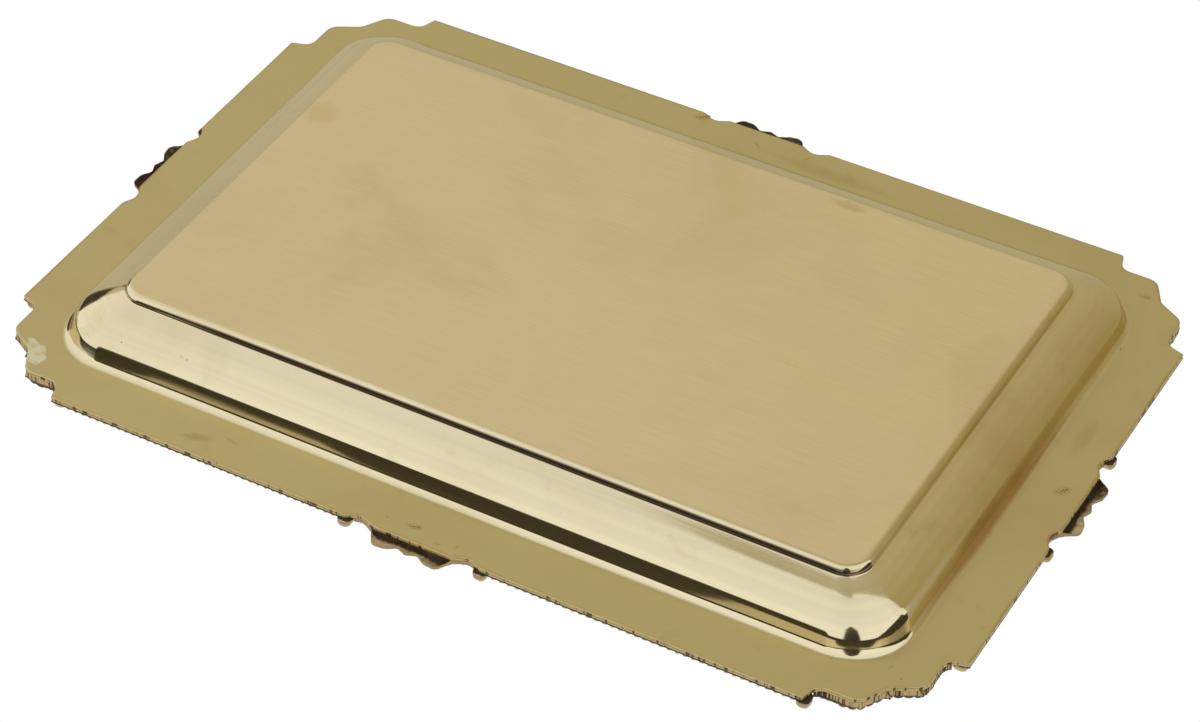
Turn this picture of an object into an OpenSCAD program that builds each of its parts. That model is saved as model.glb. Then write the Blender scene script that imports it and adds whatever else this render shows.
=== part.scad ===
// Rectangular brass coin tray: one pressed sheet with a flat flange, and cast ornaments seated on the flange.
// It stands on its base panel: +Z up, origin at the middle of the base, +X along the long side.

/* [Tray sheet] */
// Length of the rim between its straight short edges
rim_l = 240; // [210:1:300]
// Width of the rim between its straight long edges
rim_w = 166; // [150:1:220]
// Thickness of the brass sheet
sheet_t = 1.0; // [0.7:0.1:1.4]
// Height of the flange's underside above the table
rim_h = 12.5; // [11.5:0.5:18]
// Width of the flat flange, from the straight edge to the wall's fillet
flange_w = 12.6; // [11.5:0.1:16]

/* [Well] */
// Plan radius of the well's corners at the flange
well_corner_r = 15.5; // [12:0.5:20]
// Radius of the hollow fillet between the flange and the wall
fillet_r = 2.3; // [1.5:0.1:3]
// Lean of the wall from the vertical, in degrees
wall_lean = 14; // [10:1:25]
// Radius of the rounding from the wall to the shoulder
shoulder_r = 5; // [3:0.5:5.5]
// Width of the sloping shoulder, from the wall to the step
shoulder_w = 10.5; // [8:0.1:14]
// Drop of the shoulder over its width
shoulder_drop = 5.4; // [3:0.1:6]

/* [Base panel] */
// Height of the step round the base panel
step_h = 2; // [1.8:0.1:2.5]
// Width of the step's sloping face
step_w = 0.25; // [0.1:0.05:1]
// Radius of the hollow bend at the foot of the step, on the underside
step_r = 0.4; // [0.3:0.1:0.5]
// Radius of the bend between the step and the base panel, on the underside
panel_r = 1.7; // [1:0.1:1.8]
// Plan radius of the base panel's corners
panel_corner_r = 6; // [4:0.5:9]

/* [Corner outline] */
// Distance from the rim's square corner to the point where the straight edge ends
corner_reach = 26; // [24:0.5:30]
// Depth of the corner's lobes below the straight edge
lobe_depth = 4.8; // [3.5:0.1:5.5]
// Run of the hollow between the edge's end and the lobe
notch_run = 1.5; // [1:0.1:2.5]
// Distance from the square corner's sides to the middle of a lobe's bend
lobe_place = 15.4; // [14.5:0.1:16.5]
// Distance from the square corner's sides to the dip between the two lobes
dip_place = 11.6; // [10.5:0.1:12]
// Radius of the lobes
lobe_r = 3.6; // [3:0.1:5]
// Radius of the hollows beside the lobes
hollow_r = 2.8; // [2:0.1:3]

/* [Side outline] */
// Half the length of the run that carries the side ornament
side_run = 10; // [9:0.5:14]
// Length of the shallow notch at each end of that run
side_notch = 7; // [6:0.5:9]
// Depth of the shallow notch
side_notch_d = 1.9; // [1:0.1:2.5]
// Radius of the shallow notch
side_notch_r = 3.2; // [2:0.1:3.5]

/* [Castings] */
// Thickness of a casting's rim on the flange
cast_t = 1.5; // [1:0.1:2.5]
// Thickness of a side ornament's thin outer rim
leaf_t = 0.9; // [0.6:0.1:1.5]
// Rise of the shell's flutes over the casting's rim
shell_rise = 2.2; // [1:0.1:3]
// Number of flutes on a corner shell
corner_flutes = 9; // [5:2:13]
// Number of flutes on a side ornament
side_flutes = 7; // [5:2:11]
// Width of a corner casting at its two ends
corner_end_w = 5.5; // [4.5:0.1:7]
// Distance from the square corner's sides to the casting's inner edge on the diagonal
corner_inner = 15.4; // [15:0.1:16]
// Distance that a side ornament sticks out past the sheet
side_overhang = 3.2; // [2:0.1:4]
// Width of a side ornament on the flange, at its middle
side_depth = 8; // [6:0.1:9]
// Width of a side ornament at its two ends
side_end_w = 2.6; // [2:0.1:4]

/* [Border strips] */
// Width of a border strip
strip_w = 5; // [4:0.1:6]
// Height of a border strip at its crest
strip_h = 1.9; // [1.2:0.1:2.5]
// Spacing of the ribs along a border strip
rib_pitch = 1.9; // [1.4:0.1:3]
// Depth of the grooves between the ribs
rib_d = 0.5; // [0.3:0.05:0.8]
// Radius of the round knob at each end of a strip
knob_r = 1.8; // [1.4:0.1:2]
// Distance that the knob beside a side ornament sticks out past the sheet
knob_out = 0.9; // [0.6:0.1:1.4]
// Distance that the knob at a long strip's corner end sticks out past the sheet
end_knob_out = 0.3; // [0:0.1:0.8]
// Distance that the knob at a short strip's corner end stays back from that end; half of it from the edge
knob_back = 1.2; // [0.5:0.1:2]
// Gap between neighbouring pieces on the flange
seam = 0.15; // [0.05:0.05:0.3]

/* [Hidden] */
$fn = 48;

brass_satin = [0.69, 0.62, 0.40];
brass_cast = [0.52, 0.42, 0.24];
brass_border = [0.60, 0.51, 0.30];

// Heights
rim_top = rim_h + sheet_t;
wall_drop = rim_h - shoulder_drop - step_h;
// Turn of the bend between the flange and the wall, and the length that the bend takes from the flange
wall_turn = 90 - wall_lean;
fillet_run = fillet_r * tan(wall_turn / 2);
// Distances from the flange's inner edge inwards
wall_foot = fillet_run + wall_drop * tan(wall_lean);
step_foot = wall_foot + shoulder_w;
panel_inset = step_foot + step_w;
// Half sizes of the well at the flange
well_x = rim_l / 2 - flange_w;
well_y = rim_w / 2 - flange_w;
// Small height that keeps the well's first ring clear of the flange's own faces
lip = 0.05;
// Height by which the well's cut clears the flange
cut_over = 1;
// Steps in a rounded bend of an outline, in a bend of the well's section and in a plan corner of the well
bend_steps = 5;
// Share of a bend's shorter side that its rounding may take
bend_room = 0.95;
section_steps = 5;
plan_steps = 10;
// Rows across a casting, and samples along it
cast_rows = 6;
corner_samples = 60;
side_samples = 60;
// Share of a corner casting's length on which the shell's flutes lie, and the same for a side ornament
corner_fan = 0.62;
side_fan = 0.5;
// Shares of the shell's rise in the grooves between the flutes and on the plain roll at both ends
groove_share = 0.45;
roll_share = 0.5;
// Power with which the flutes give way to the roll towards the ends of the fan
roll_power = 6;
// Power with which a casting's height eases to its outer rim
rim_power = 3;
// Part of a half wave that the shell's height follows across the casting: [start, length]
swell_part = [0.1, 0.8];
// Bends of the side ornament's outer line: [share of the half run, share of the overhang, radius]
side_tip = [0, 0.8, 0.8];
side_waist = [0.24, 0.48, 0.8];
side_leaf = [[0.48, 0.95, 2], [0.8, 1.06, 1.8]];
// The same for its inner line, with the widest place as a share of the half run, and the radius of its bends
side_inner_share = 0.7;
casting_r = 4;
// Section of a strip: shares of its height at the outer edge and at the inner edge, and share of its width at
// the crest, with the radii of the two bends
strip_outer_share = 0.15;
strip_inner_share = 0.35;
strip_crest_share = 0.45;
strip_edge_r = 0.1;
strip_crest_r = 1.2;
// Points on each rib of a strip
rib_points = 4;
// Height of a knob's middle over its seat, as a share of its radius
knob_lift = 0.35;
// Radius of the outline where a straight edge meets the shallow notch
edge_end_r = 1.2;
// Radius of the outline where a straight edge meets the corner
tip_r = 0.6;
// Point where a strip ends at the corner and at the side ornament, measured from the middle of its side
side_end = side_run + side_notch;
corner_end_x = rim_l / 2 - corner_reach;
corner_end_y = rim_w / 2 - corner_reach;

// Vector helpers
function unit(v) = v / norm(v);
function mix(a, b, k) = a * (1 - k) + b * k;
function left_of(v) = [-v.y, v.x];
function sum_to(list, last) = last < 0 ? 0 : list[last] + sum_to(list, last - 1);

// The arc that rounds the bend at b on the way from a to c, as a list of points
function bend(a, b, c, r, steps) =
    let (
        back = unit(a - b),
        on = unit(c - b),
        half = acos(back * on) / 2,
        centre = b + unit(back + on) * r / sin(half),
        first = b + back * r / tan(half) - centre,
        last = b + on * r / tan(half) - centre,
        sweep = 180 - 2 * half
    )
    [for (i = [0:steps])
        let (turn = sweep * i / steps)
        centre + (first * sin(sweep - turn) + last * sin(turn)) / sin(sweep)];

// The same with a radius that the two sides of the bend have room for
function fitted_bend(a, b, c, r, steps) =
    let (half = acos(unit(a - b) * unit(c - b)) / 2)
    bend(a, b, c, min(r, bend_room * min(norm(a - b), norm(c - b)) * tan(half)), steps);

// A line of bends [x, y, radius] with its two ends kept sharp
function rounded_line(bends, steps) = [
    for (i = [0:len(bends) - 1])
        if (i == 0 || i == len(bends) - 1 || bends[i].z == 0) place(bends[i])
        else each fitted_bend(place(bends[i - 1]), place(bends[i]), place(bends[i + 1]), bends[i].z, steps)
];
function place(bend) = [bend.x, bend.y];

// Distances along a line of points, and the point at a share of its length
function lengths(line) = [for (i = [0:len(line) - 2]) norm(line[i + 1] - line[i])];
function walk(line, spans, rest, i = 0) =
    i == len(spans) - 1 || rest <= spans[i]
        ? mix(line[i], line[i + 1], min(rest / spans[i], 1))
        : walk(line, spans, rest - spans[i], i + 1);
function resample(line, count) =
    let (spans = lengths(line), total = sum_to(spans, len(spans) - 1))
    [for (i = [0:count]) walk(line, spans, total * i / count)];

// Corner outline as bends, measured from the square corner inwards, from the long side to the short side
corner_half = [
    [corner_reach, 0, tip_r],
    [corner_reach - notch_run, lobe_depth, hollow_r],
    [lobe_place, lobe_depth, lobe_r]
];
corner_bends = concat(
    corner_half,
    [[dip_place, dip_place, hollow_r]],
    [for (i = [2:-1:0]) [corner_half[i].y, corner_half[i].x, corner_half[i].z]]
);

// Side outline as bends, [distance along the side, depth below the edge, radius]
side_half = [
    [side_end, 0, edge_end_r],
    [side_run + side_notch / 2, side_notch_d, side_notch_r],
    [side_run, 0, 0]
];
side_bends = concat(side_half, [for (i = [2:-1:0]) [-side_half[i].x, side_half[i].y, side_half[i].z]]);

// Whole outline of the sheet: each quarter runs from the middle of a long side to the middle of a short side
function turned(bends) = [for (i = [len(bends) - 1:-1:0]) bends[i]];
function placed(bends, sx, sy) = [for (b = bends) [sx * b.x, sy * b.y, b.z]];
quarter = concat(
    [for (b = turned(side_half)) [b.x, rim_w / 2 - b.y, b.z]],
    [for (b = corner_bends) [rim_l / 2 - b.x, rim_w / 2 - b.y, b.z]],
    [for (b = side_half) [rim_l / 2 - b.y, b.x, b.z]]
);
outline_bends = concat(
    placed(quarter, 1, 1),
    placed(turned(quarter), 1, -1),
    placed(quarter, -1, -1),
    placed(turned(quarter), -1, 1)
);
outline = rounded_line(concat(outline_bends, [outline_bends[0]]), bend_steps);

// Section of the sheet's underside: [distance inwards from the flange's inner edge, height]
section_corners = [
    [0, rim_h],
    [fillet_run, rim_h],
    [wall_foot, rim_h - wall_drop],
    [step_foot, step_h],
    [panel_inset, 0],
    [panel_inset + 2 * panel_r, 0]
];
section_radii = [0, fillet_r, shoulder_r, step_r, panel_r, 0];
// Sign of each bend: 1 where the upper face has the larger radius
section_signs = [0, 1, -1, 1, -1, 0];
least_r = 0.15;

// Corner i of the section moved up by a distance, square to both of its sides
function lifted(i, up) =
    let (
        c = section_corners,
        last = len(c) - 1,
        n0 = left_of(unit(c[max(i, 1)] - c[max(i, 1) - 1])),
        n1 = left_of(unit(c[min(i, last - 1) + 1] - c[min(i, last - 1)]))
    )
    c[i] + (n0 + n1) * up / (1 + n0 * n1);
function section(up) = rounded_line(
    [for (i = [0:len(section_corners) - 1])
        let (p = lifted(i, up))
        [p.x, p.y, section_radii[i] == 0 ? 0 : max(section_radii[i] + section_signs[i] * up, least_r)]],
    section_steps
);

// Ring of the well at a distance inwards and a height; the plan radius eases from the flange's to the panel's
function plan_r(inwards) =
    mix(well_corner_r, panel_corner_r, min(max(inwards / panel_inset, 0), 1)) - max(inwards - panel_inset, 0);
function ring(inwards, z) =
    let (x = well_x - inwards, y = well_y - inwards, r = plan_r(inwards))
    [for (q = [0:3], i = [0:plan_steps])
        let (
            a = 90 * (q + i / plan_steps),
            sx = q == 0 || q == 3 ? 1 : -1,
            sy = q < 2 ? 1 : -1
        )
        [sx * (x - r) + r * cos(a), sy * (y - r) + r * sin(a), z]];

// Solid between rings that are listed from the top down
module ring_stack(rings) {
    n = len(rings[0]);
    last = len(rings) - 1;
    sides = [for (k = [0:last - 1], i = [0:n - 1])
        let (j = (i + 1) % n, a = k * n + i, b = k * n + j, c = (k + 1) * n + j, d = (k + 1) * n + i)
        each [[a, b, c], [a, c, d]]];
    top = [for (i = [n - 1:-1:0]) i];
    bottom = [for (i = [0:n - 1]) last * n + i];
    polyhedron(points = [for (r = rings) each r], faces = concat(sides, [top, bottom]));
}

// The bowl whose surface is the section lifted by a distance, with a straight neck up to a height
module bowl(up, neck_top) {
    points = section(up);
    start = [for (p = points) if (p.y < rim_h + up - lip) p];
    ring_stack(concat(
        [ring(points[0].x, neck_top), ring(points[0].x, rim_h + up - lip)],
        [for (p = start) ring(p.x, p.y)]
    ));
}

module tray_sheet() {
    color(brass_satin)
    difference() {
        union() {
            translate([0, 0, rim_h]) linear_extrude(sheet_t) polygon(outline);
            bowl(0, rim_h + sheet_t / 2);
        }
        bowl(sheet_t, rim_top + cut_over);
    }
}

// A casting: a strip of surface between an inner and an outer line of points, with a height for each point,
// closed by upright sides and a flat seat at z = 0
module casting(inner, outer, heights) {
    n = len(inner);
    top = [for (k = [0:cast_rows], i = [0:n - 1])
        let (p = mix(inner[i], outer[i], k / cast_rows)) [p.x, p.y, heights[k][i]]];
    seat = [for (line = [inner, outer], p = line) [p.x, p.y, 0]];
    // First points of the outer row, of the seat's inner row and of the seat's outer row
    rim = cast_rows * n;
    in_seat = rim + n;
    out_seat = in_seat + n;
    skin = [for (k = [0:cast_rows - 1], i = [0:n - 2])
        let (a = k * n + i, d = a + n)
        each [[a, a + 1, d + 1], [a, d + 1, d]]];
    sides = [for (i = [0:n - 2])
        let (s = in_seat + i, t = out_seat + i, r = rim + i)
        each [
            [i, s, s + 1], [i, s + 1, i + 1],
            [r, r + 1, t + 1], [r, t + 1, t],
            [s, t, t + 1], [s, t + 1, s + 1]
        ]];
    ends = [for (k = [0:cast_rows - 1])
        let (a = k * n, d = a + n)
        each [[in_seat, a, d], [out_seat - 1, d + n - 1, a + n - 1]]];
    corners = [[in_seat, rim, out_seat], [out_seat - 1, out_seat + n - 1, in_seat - 1]];
    polyhedron(points = concat(top, seat), faces = concat(skin, sides, ends, corners));
}

// Relief of a shell: flutes in the middle fan, a plain roll at both ends
function fan_place(s, fan) = abs(s - 0.5) / (fan / 2);
function flute(s, fan, count) = abs(cos(180 * count * (s - 0.5) / fan));
function shell_height(s, w, rim, fan, count) =
    let (
        place = min(fan_place(s, fan), 1),
        swell = sin(180 * (swell_part[0] + swell_part[1] * w)),
        fluted = mix(groove_share, 1, flute(s, fan, count))
    )
    mix(cast_t, rim, pow(w, rim_power)) + shell_rise * swell * mix(fluted, roll_share, pow(place, roll_power));
function relief(samples, rim, fan, count) =
    [for (k = [0:cast_rows]) [for (i = [0:samples]) shell_height(i / samples, k / cast_rows, rim, fan, count)]];

// Corner casting in the corner at +X +Y. Its outer side follows the sheet's outline from the knobs on.
knob_depth = 2 * knob_r - end_knob_out + seam;
corner_start = [corner_reach - notch_run * knob_depth / lobe_depth, knob_depth];
corner_outer_bends = [for (i = [0:len(corner_bends) - 1])
    i == 0 ? [corner_start.x, corner_start.y, 0]
    : i == len(corner_bends) - 1 ? [corner_start.y, corner_start.x, 0]
    : corner_bends[i]];
corner_inner_bends = [
    [corner_reach - seam, corner_end_w, 0],
    [corner_reach - notch_run * 2, corner_end_w + seam, casting_r],
    [corner_inner, corner_inner, casting_r],
    [corner_end_w + seam, corner_reach - notch_run * 2, casting_r],
    [corner_end_w, corner_reach - seam, 0]
];
function to_corner(bends) =
    let (line = resample(rounded_line(bends, bend_steps), corner_samples))
    [for (i = [corner_samples:-1:0]) [rim_l / 2 - line[i].x, rim_w / 2 - line[i].y]];

module corner_casting(sx, sy) {
    color(brass_cast)
    mirror([sx < 0 ? 1 : 0, 0, 0]) mirror([0, sy < 0 ? 1 : 0, 0]) translate([0, 0, rim_top])
        casting(
            to_corner(corner_inner_bends),
            to_corner(corner_outer_bends),
            relief(corner_samples, cast_t, corner_fan, corner_flutes)
        );
}

// Side ornament on the side at +Y of a rim of half width `half`: two leaf lobes with a small one between them.
// It runs from knob to knob, and beside the lobes it follows the sheet's shallow notches.
side_start = side_end - knob_r - seam;
side_start_d = side_notch_d * (side_end - side_start) * 2 / side_notch;
side_half_line = concat(
    [for (b = concat([side_waist], side_leaf)) [side_run * b.x, side_overhang * b.y, b.z]],
    [
        [side_run, 0, 0],
        [side_run + side_notch / 2, -side_notch_d, side_notch_r],
        [side_start, -side_start_d, 0]
    ]
);
side_last = len(side_half_line) - 1;
side_outer_bends = concat(
    [for (i = [side_last:-1:0]) let (b = side_half_line[i]) [-b.x, b.y, b.z]],
    [[side_run * side_tip.x, side_overhang * side_tip.y, side_tip.z]],
    side_half_line
);
side_inner_half = [
    [side_run * side_inner_share, -side_depth, casting_r],
    [side_start, -side_start_d - side_end_w, 0]
];
side_inner_bends = concat(
    [for (i = [1:-1:0]) let (b = side_inner_half[i]) [-b.x, b.y, b.z]],
    side_inner_half
);
function to_side(bends, half) =
    [for (p = resample(rounded_line(bends, bend_steps), side_samples)) [-p.x, half + p.y]];

module side_ornament(half) {
    color(brass_cast)
    translate([0, 0, rim_top])
        casting(
            to_side(side_inner_bends, half),
            to_side(side_outer_bends, half),
            relief(side_samples, leaf_t, side_fan, side_flutes)
        );
}

// Section of a border strip across its width, highest near the outer edge
strip_section = rounded_line([
    [0, 0, 0],
    [0, strip_h * strip_outer_share, strip_edge_r],
    [strip_w * strip_crest_share, strip_h, strip_crest_r],
    [strip_w, strip_h * strip_inner_share, 0],
    [strip_w, 0, 0]
], bend_steps);

// Crest line of the ribs along a strip of a length, seen from its side
function rib_line(length) =
    let (count = max(round(length / rib_pitch), 1), pitch = length / count)
    concat(
        [[0, 0]],
        [for (i = [0:count - 1], k = [0:rib_points]) if (i == 0 || k > 0)
            [pitch * (i + k / rib_points), strip_h - rib_d * (1 - sin(180 * k / rib_points))]],
        [[length, 0]]
    );

// Half-round knob that is cut flat at its seat
module knob() {
    intersection() {
        translate([0, 0, knob_r * knob_lift]) sphere(r = knob_r);
        translate([-2 * knob_r, -2 * knob_r, 0]) cube([4 * knob_r, 4 * knob_r, 3 * knob_r]);
    }
}

// Border strip on the side at +Y of a rim of half width `half`, between two places along that side
module border_strip(half, from, to, end_out, end_back) {
    length = to - from;
    color(brass_border)
    translate([from, half, rim_top]) {
        intersection() {
            rotate([90, 0, 0]) linear_extrude(strip_w) polygon(rib_line(length));
            rotate([90, 0, 90]) linear_extrude(length) polygon([for (p = strip_section) [-p.x, p.y]]);
        }
        translate([0, knob_out - knob_r, 0]) knob();
        translate([length - end_back, end_out - knob_r, 0]) knob();
    }
}

// Long and short border strips in the quarter at +X +Y
module long_strip() {
    border_strip(rim_w / 2, side_end, corner_end_x, end_knob_out, 0);
}
module short_strip() {
    border_strip(rim_l / 2, side_end, corner_end_y, -knob_back / 2, knob_back);
}

// Places: the strips and ornaments are made at +Y and then moved to their sides
module corner_casting_front_left() corner_casting(-1, -1);
module corner_casting_front_right() corner_casting(1, -1);
module corner_casting_back_left() corner_casting(-1, 1);
module corner_casting_back_right() corner_casting(1, 1);
module side_ornament_back() side_ornament(rim_w / 2);
module side_ornament_front() rotate(180) side_ornament(rim_w / 2);
module side_ornament_left() rotate(90) side_ornament(rim_l / 2);
module side_ornament_right() rotate(-90) side_ornament(rim_l / 2);
module border_back_right() long_strip();
module border_back_left() mirror([1, 0, 0]) long_strip();
module border_front_right() mirror([0, 1, 0]) long_strip();
module border_front_left() rotate(180) long_strip();
module border_left_back() rotate(90) short_strip();
module border_left_front() mirror([0, 1, 0]) rotate(90) short_strip();
module border_right_front() rotate(-90) short_strip();
module border_right_back() mirror([0, 1, 0]) rotate(-90) short_strip();

tray_sheet();
corner_casting_front_left();
corner_casting_front_right();
corner_casting_back_left();
corner_casting_back_right();
side_ornament_front();
side_ornament_back();
side_ornament_left();
side_ornament_right();
border_front_left();
border_front_right();
border_back_left();
border_back_right();
border_left_front();
border_left_back();
border_right_front();
border_right_back();
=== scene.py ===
"""Looks of the brass coin tray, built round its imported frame, and the studio that shows it from below."""
import math

import bpy
import numpy as np
from bpy.props import FloatProperty, FloatVectorProperty, IntProperty, PointerProperty
from mathutils import Matrix, Vector


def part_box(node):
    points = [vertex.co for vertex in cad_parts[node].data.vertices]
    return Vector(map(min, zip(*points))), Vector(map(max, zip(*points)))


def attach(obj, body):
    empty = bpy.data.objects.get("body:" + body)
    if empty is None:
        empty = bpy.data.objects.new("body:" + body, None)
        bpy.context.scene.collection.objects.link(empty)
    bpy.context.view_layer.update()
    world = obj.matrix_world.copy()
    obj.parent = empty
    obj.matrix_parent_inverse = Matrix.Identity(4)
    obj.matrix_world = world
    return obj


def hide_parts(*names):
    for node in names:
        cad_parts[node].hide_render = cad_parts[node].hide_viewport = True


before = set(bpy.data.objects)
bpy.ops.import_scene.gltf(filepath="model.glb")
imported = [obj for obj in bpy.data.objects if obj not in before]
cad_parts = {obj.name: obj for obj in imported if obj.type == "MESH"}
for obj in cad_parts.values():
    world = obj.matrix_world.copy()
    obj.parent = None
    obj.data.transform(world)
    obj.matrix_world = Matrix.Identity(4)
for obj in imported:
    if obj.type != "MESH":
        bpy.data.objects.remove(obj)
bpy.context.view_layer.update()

bl_info = {
    "name": "Brass Coin Tray",
    "version": (1, 0, 0),
    "blender": (4, 5, 0),
    "location": "View3D > Sidebar > Tray",
    "description": "Dresses a pressed brass tray with cast shell ornaments and ribbed borders",
    "category": "Add Mesh",
}

SHEET_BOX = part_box("tray_sheet")
MM = 0.001
ENDS = {"back": (0, 1), "front": (0, -1), "left": (-1, 0), "right": (1, 0)}
BARE_KNOB = ("back", "right")
# Strength of the painted sheen under each side leaf: lighter or darker by side, as the light falls
LEAF_SHEEN = {"back": 1.0, "right": 0.75, "front": 0.35, "left": 0.35}
CORNERS = {
    "front_left": (-1, -1),
    "front_right": (1, -1),
    "back_left": (-1, 1),
    "back_right": (1, 1),
}


# Screens that the metal reflects: name, radius in metres, pairs of edge points that its columns join (azimuth from
# +X towards +Y and elevation, in degrees), soft shares of its width and height (start, end), power of its grading,
# and its corner colours: start and end of the first edge, start and end of the second edge
SCREENS = (
    ("far_wall", 4.4, ((-180, 30, -180, -89.9), (180, 30, 180, -89.9)), ((0.001, 0.001), (0.05, 0.001)), 1.0,
     ((0.43, 0.38, 0.26), (0.43, 0.38, 0.26), (0.46, 0.42, 0.31), (0.46, 0.42, 0.31))),
    ("back_screen", 4.2, ((-40, 22, -40, -54), (-175, 22, -175, -54)), ((0.02, 0.05), (0.05, 0.08)), 3.0,
     ((0.37, 0.30, 0.135), (0.56, 0.53, 0.43), (0.385, 0.315, 0.15), (1.0, 0.97, 0.88))),
    ("pale_tent", 4.0, ((-37, 2, -38, -32), (-36, 2, -44, -42), (-34, 2, -45, -50), (-24, 2, -44, -62),
                        (-14, 2, -43, -74), (0, 2, -42, -82), (20, 2, 0, -89), (60, 4, 60, -89.5),
                        (105, 4, 105, -89.5), (125, 6, 125, -89), (138, 7, 143, -88), (146, 8, 157, -85.5),
                        (154, 8, 165, -79), (162, 8, 164, -74), (170, 8, 165, -71.5), (180, 6, 185, -71),
                        (190, 2, 200, -73), (198, -6, 215, -68), (206, -20, 225, -62)),
     ((0.002, 0.03), (0.001, 0.008)), 2.0,
     ((0.97, 0.97, 0.97), (0.95, 0.95, 0.94), (0.82, 0.82, 0.82), (0.79, 0.79, 0.79))),
    ("dark_room", 3.8, ((-37, 16, -37, -8), (-32, 16, -32, -12), (-29, 16, -29, -27), (-14, 16, -14, -26),
                        (2, 16, 2, -20), (16, 16, 16, -9), (22, 16, 22, 0), (46, 16, 46, 1), (96, 20, 96, -2),
                        (103, 30, 103, -14), (122, 30, 122, -14), (126, 30, 126, 2), (150, 16, 150, 7),
                        (190, 16, 190, 11), (204, 18, 204, 14), (228, 26, 228, 22)),
     ((0.004, 0.02), (0.02, 0.06)), 1.0,
     ((0.045, 0.035, 0.02), (0.06, 0.05, 0.03), (0.05, 0.04, 0.022), (0.045, 0.035, 0.02))),
    ("figure", 3.6, ((46, 5, 48, -50), (52, 5, 53, -58), (55, 5, 55, -66), (66, 5, 65, -66), (69, 5, 68, -58),
                     (76, 5, 72, -50)), ((0.08, 0.10), (0.02, 0.10)), 1.0,
     ((0.03, 0.025, 0.02), (0.04, 0.035, 0.025), (0.06, 0.05, 0.03), (0.10, 0.08, 0.05))),
    ("side_figure", 3.6, ((-166, 4, -166, -12), (-158, 4, -158, -20), (-146, 4, -146, -14)),
     ((0.12, 0.12), (0.10, 0.12)), 1.0,
     ((0.06, 0.045, 0.03), (0.05, 0.04, 0.025), (0.06, 0.045, 0.03), (0.05, 0.04, 0.025))),
    ("upper_ring", 4.6, ((-180, 2, -180, 62), (180, 2, 180, 62)), ((0.001, 0.001), (0.10, 0.30)), 1.4,
     ((0.30, 0.28, 0.24), (0.30, 0.28, 0.24), (0.85, 0.83, 0.78), (0.85, 0.83, 0.78))),
)

# Further lean of the wall along the long sides: place as a share of half the side, and share of the further lean
LEAN = ((-1, 1), (-0.92, 0.95), (-0.84, 0.55), (-0.35, 0.5), (-0.15, 1), (0.6, 1), (0.85, 0.1), (1, 0))

# Stains on the sheet: middle, half length and half width in millimetres, turn in degrees, colour and strength.
# Marks shorter than SMALL_MARK are broken up
SMALL_MARK = 3.0
STAINS = (
    ((-58.3, 77.8), (5, 1.6), 20, (0.36, 0.24, 0.09), 0.35),
    ((-51.1, 75.1), (2.6, 0.7), -15, (0.33, 0.19, 0.06), 0.45),
    ((-63.6, 61.8), (5, 9), 10, (0.60, 0.53, 0.27), 0.16),
    ((-2.2, 62.2), (1.6, 1.2), 0, (0.70, 0.42, 0.20), 0.30),
    ((-69.8, 63.9), (0.5, 0.35), 0, (0.35, 0.12, 0.07), 0.8),
    ((-71.4, 63.7), (0.45, 0.3), 0, (0.35, 0.12, 0.07), 0.7),
    ((118.0, 45.4), (1.6, 0.12), 60, (0.22, 0.15, 0.06), 0.7),
    ((112.0, -20.0), (9, 2.5), 90, (0.40, 0.28, 0.10), 0.25),
    ((105.8, 14.0), (52, 1.7), 90, (0.46, 0.23, 0.06), 0.62),
    ((-16.5, -81.0), (2.6, 1.6), 30, (0.26, 0.12, 0.03), 0.85),
    ((0.1, -77.7), (1.7, 0.5), -35, (0.30, 0.20, 0.08), 0.6),
    ((13.1, -78.8), (2.1, 0.45), 60, (0.28, 0.18, 0.07), 0.6),
    ((36.5, -53.0), (6, 2), 0, (0.52, 0.34, 0.11), 0.3),
    ((-88.5, -22.0), (6, 6), 0, (0.60, 0.38, 0.13), 0.22),
    ((104.3, -71.4), (2.8, 1.2), 0, (0.22, 0.14, 0.06), 0.5),
    ((-1.5, 78.6), (2.4, 1.2), 10, (0.26, 0.11, 0.03), 0.85),
    ((5.4, 81.0), (1.1, 0.5), 0, (0.30, 0.18, 0.06), 0.6),
    ((9.5, 79.5), (0.8, 0.4), 60, (0.22, 0.13, 0.06), 0.7),
    ((-8.4, 78.9), (0.35, 0.35), 0, (0.10, 0.06, 0.04), 0.9),
    ((109.4, 67.9), (0.4, 0.35), 0, (0.12, 0.07, 0.04), 0.9),
    ((106.1, 65.8), (1.0, 0.22), 50, (0.25, 0.15, 0.06), 0.7),
    ((115.0, -1.4), (2.6, 1.3), 45, (0.26, 0.11, 0.03), 0.8),
    ((20.0, -76.0), (22, 2.5), 0, (0.42, 0.30, 0.11), 0.25),
)


# Sizes and colours

def length(default, name, text):
    """A length in metres, given in millimetres."""
    return FloatProperty(name=name, description=text, default=default * MM, unit="LENGTH")


def colour(default, name, text):
    """A linear colour."""
    return FloatVectorProperty(name=name, description=text, default=default, subtype="COLOR", size=3, min=0, max=1)


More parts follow.
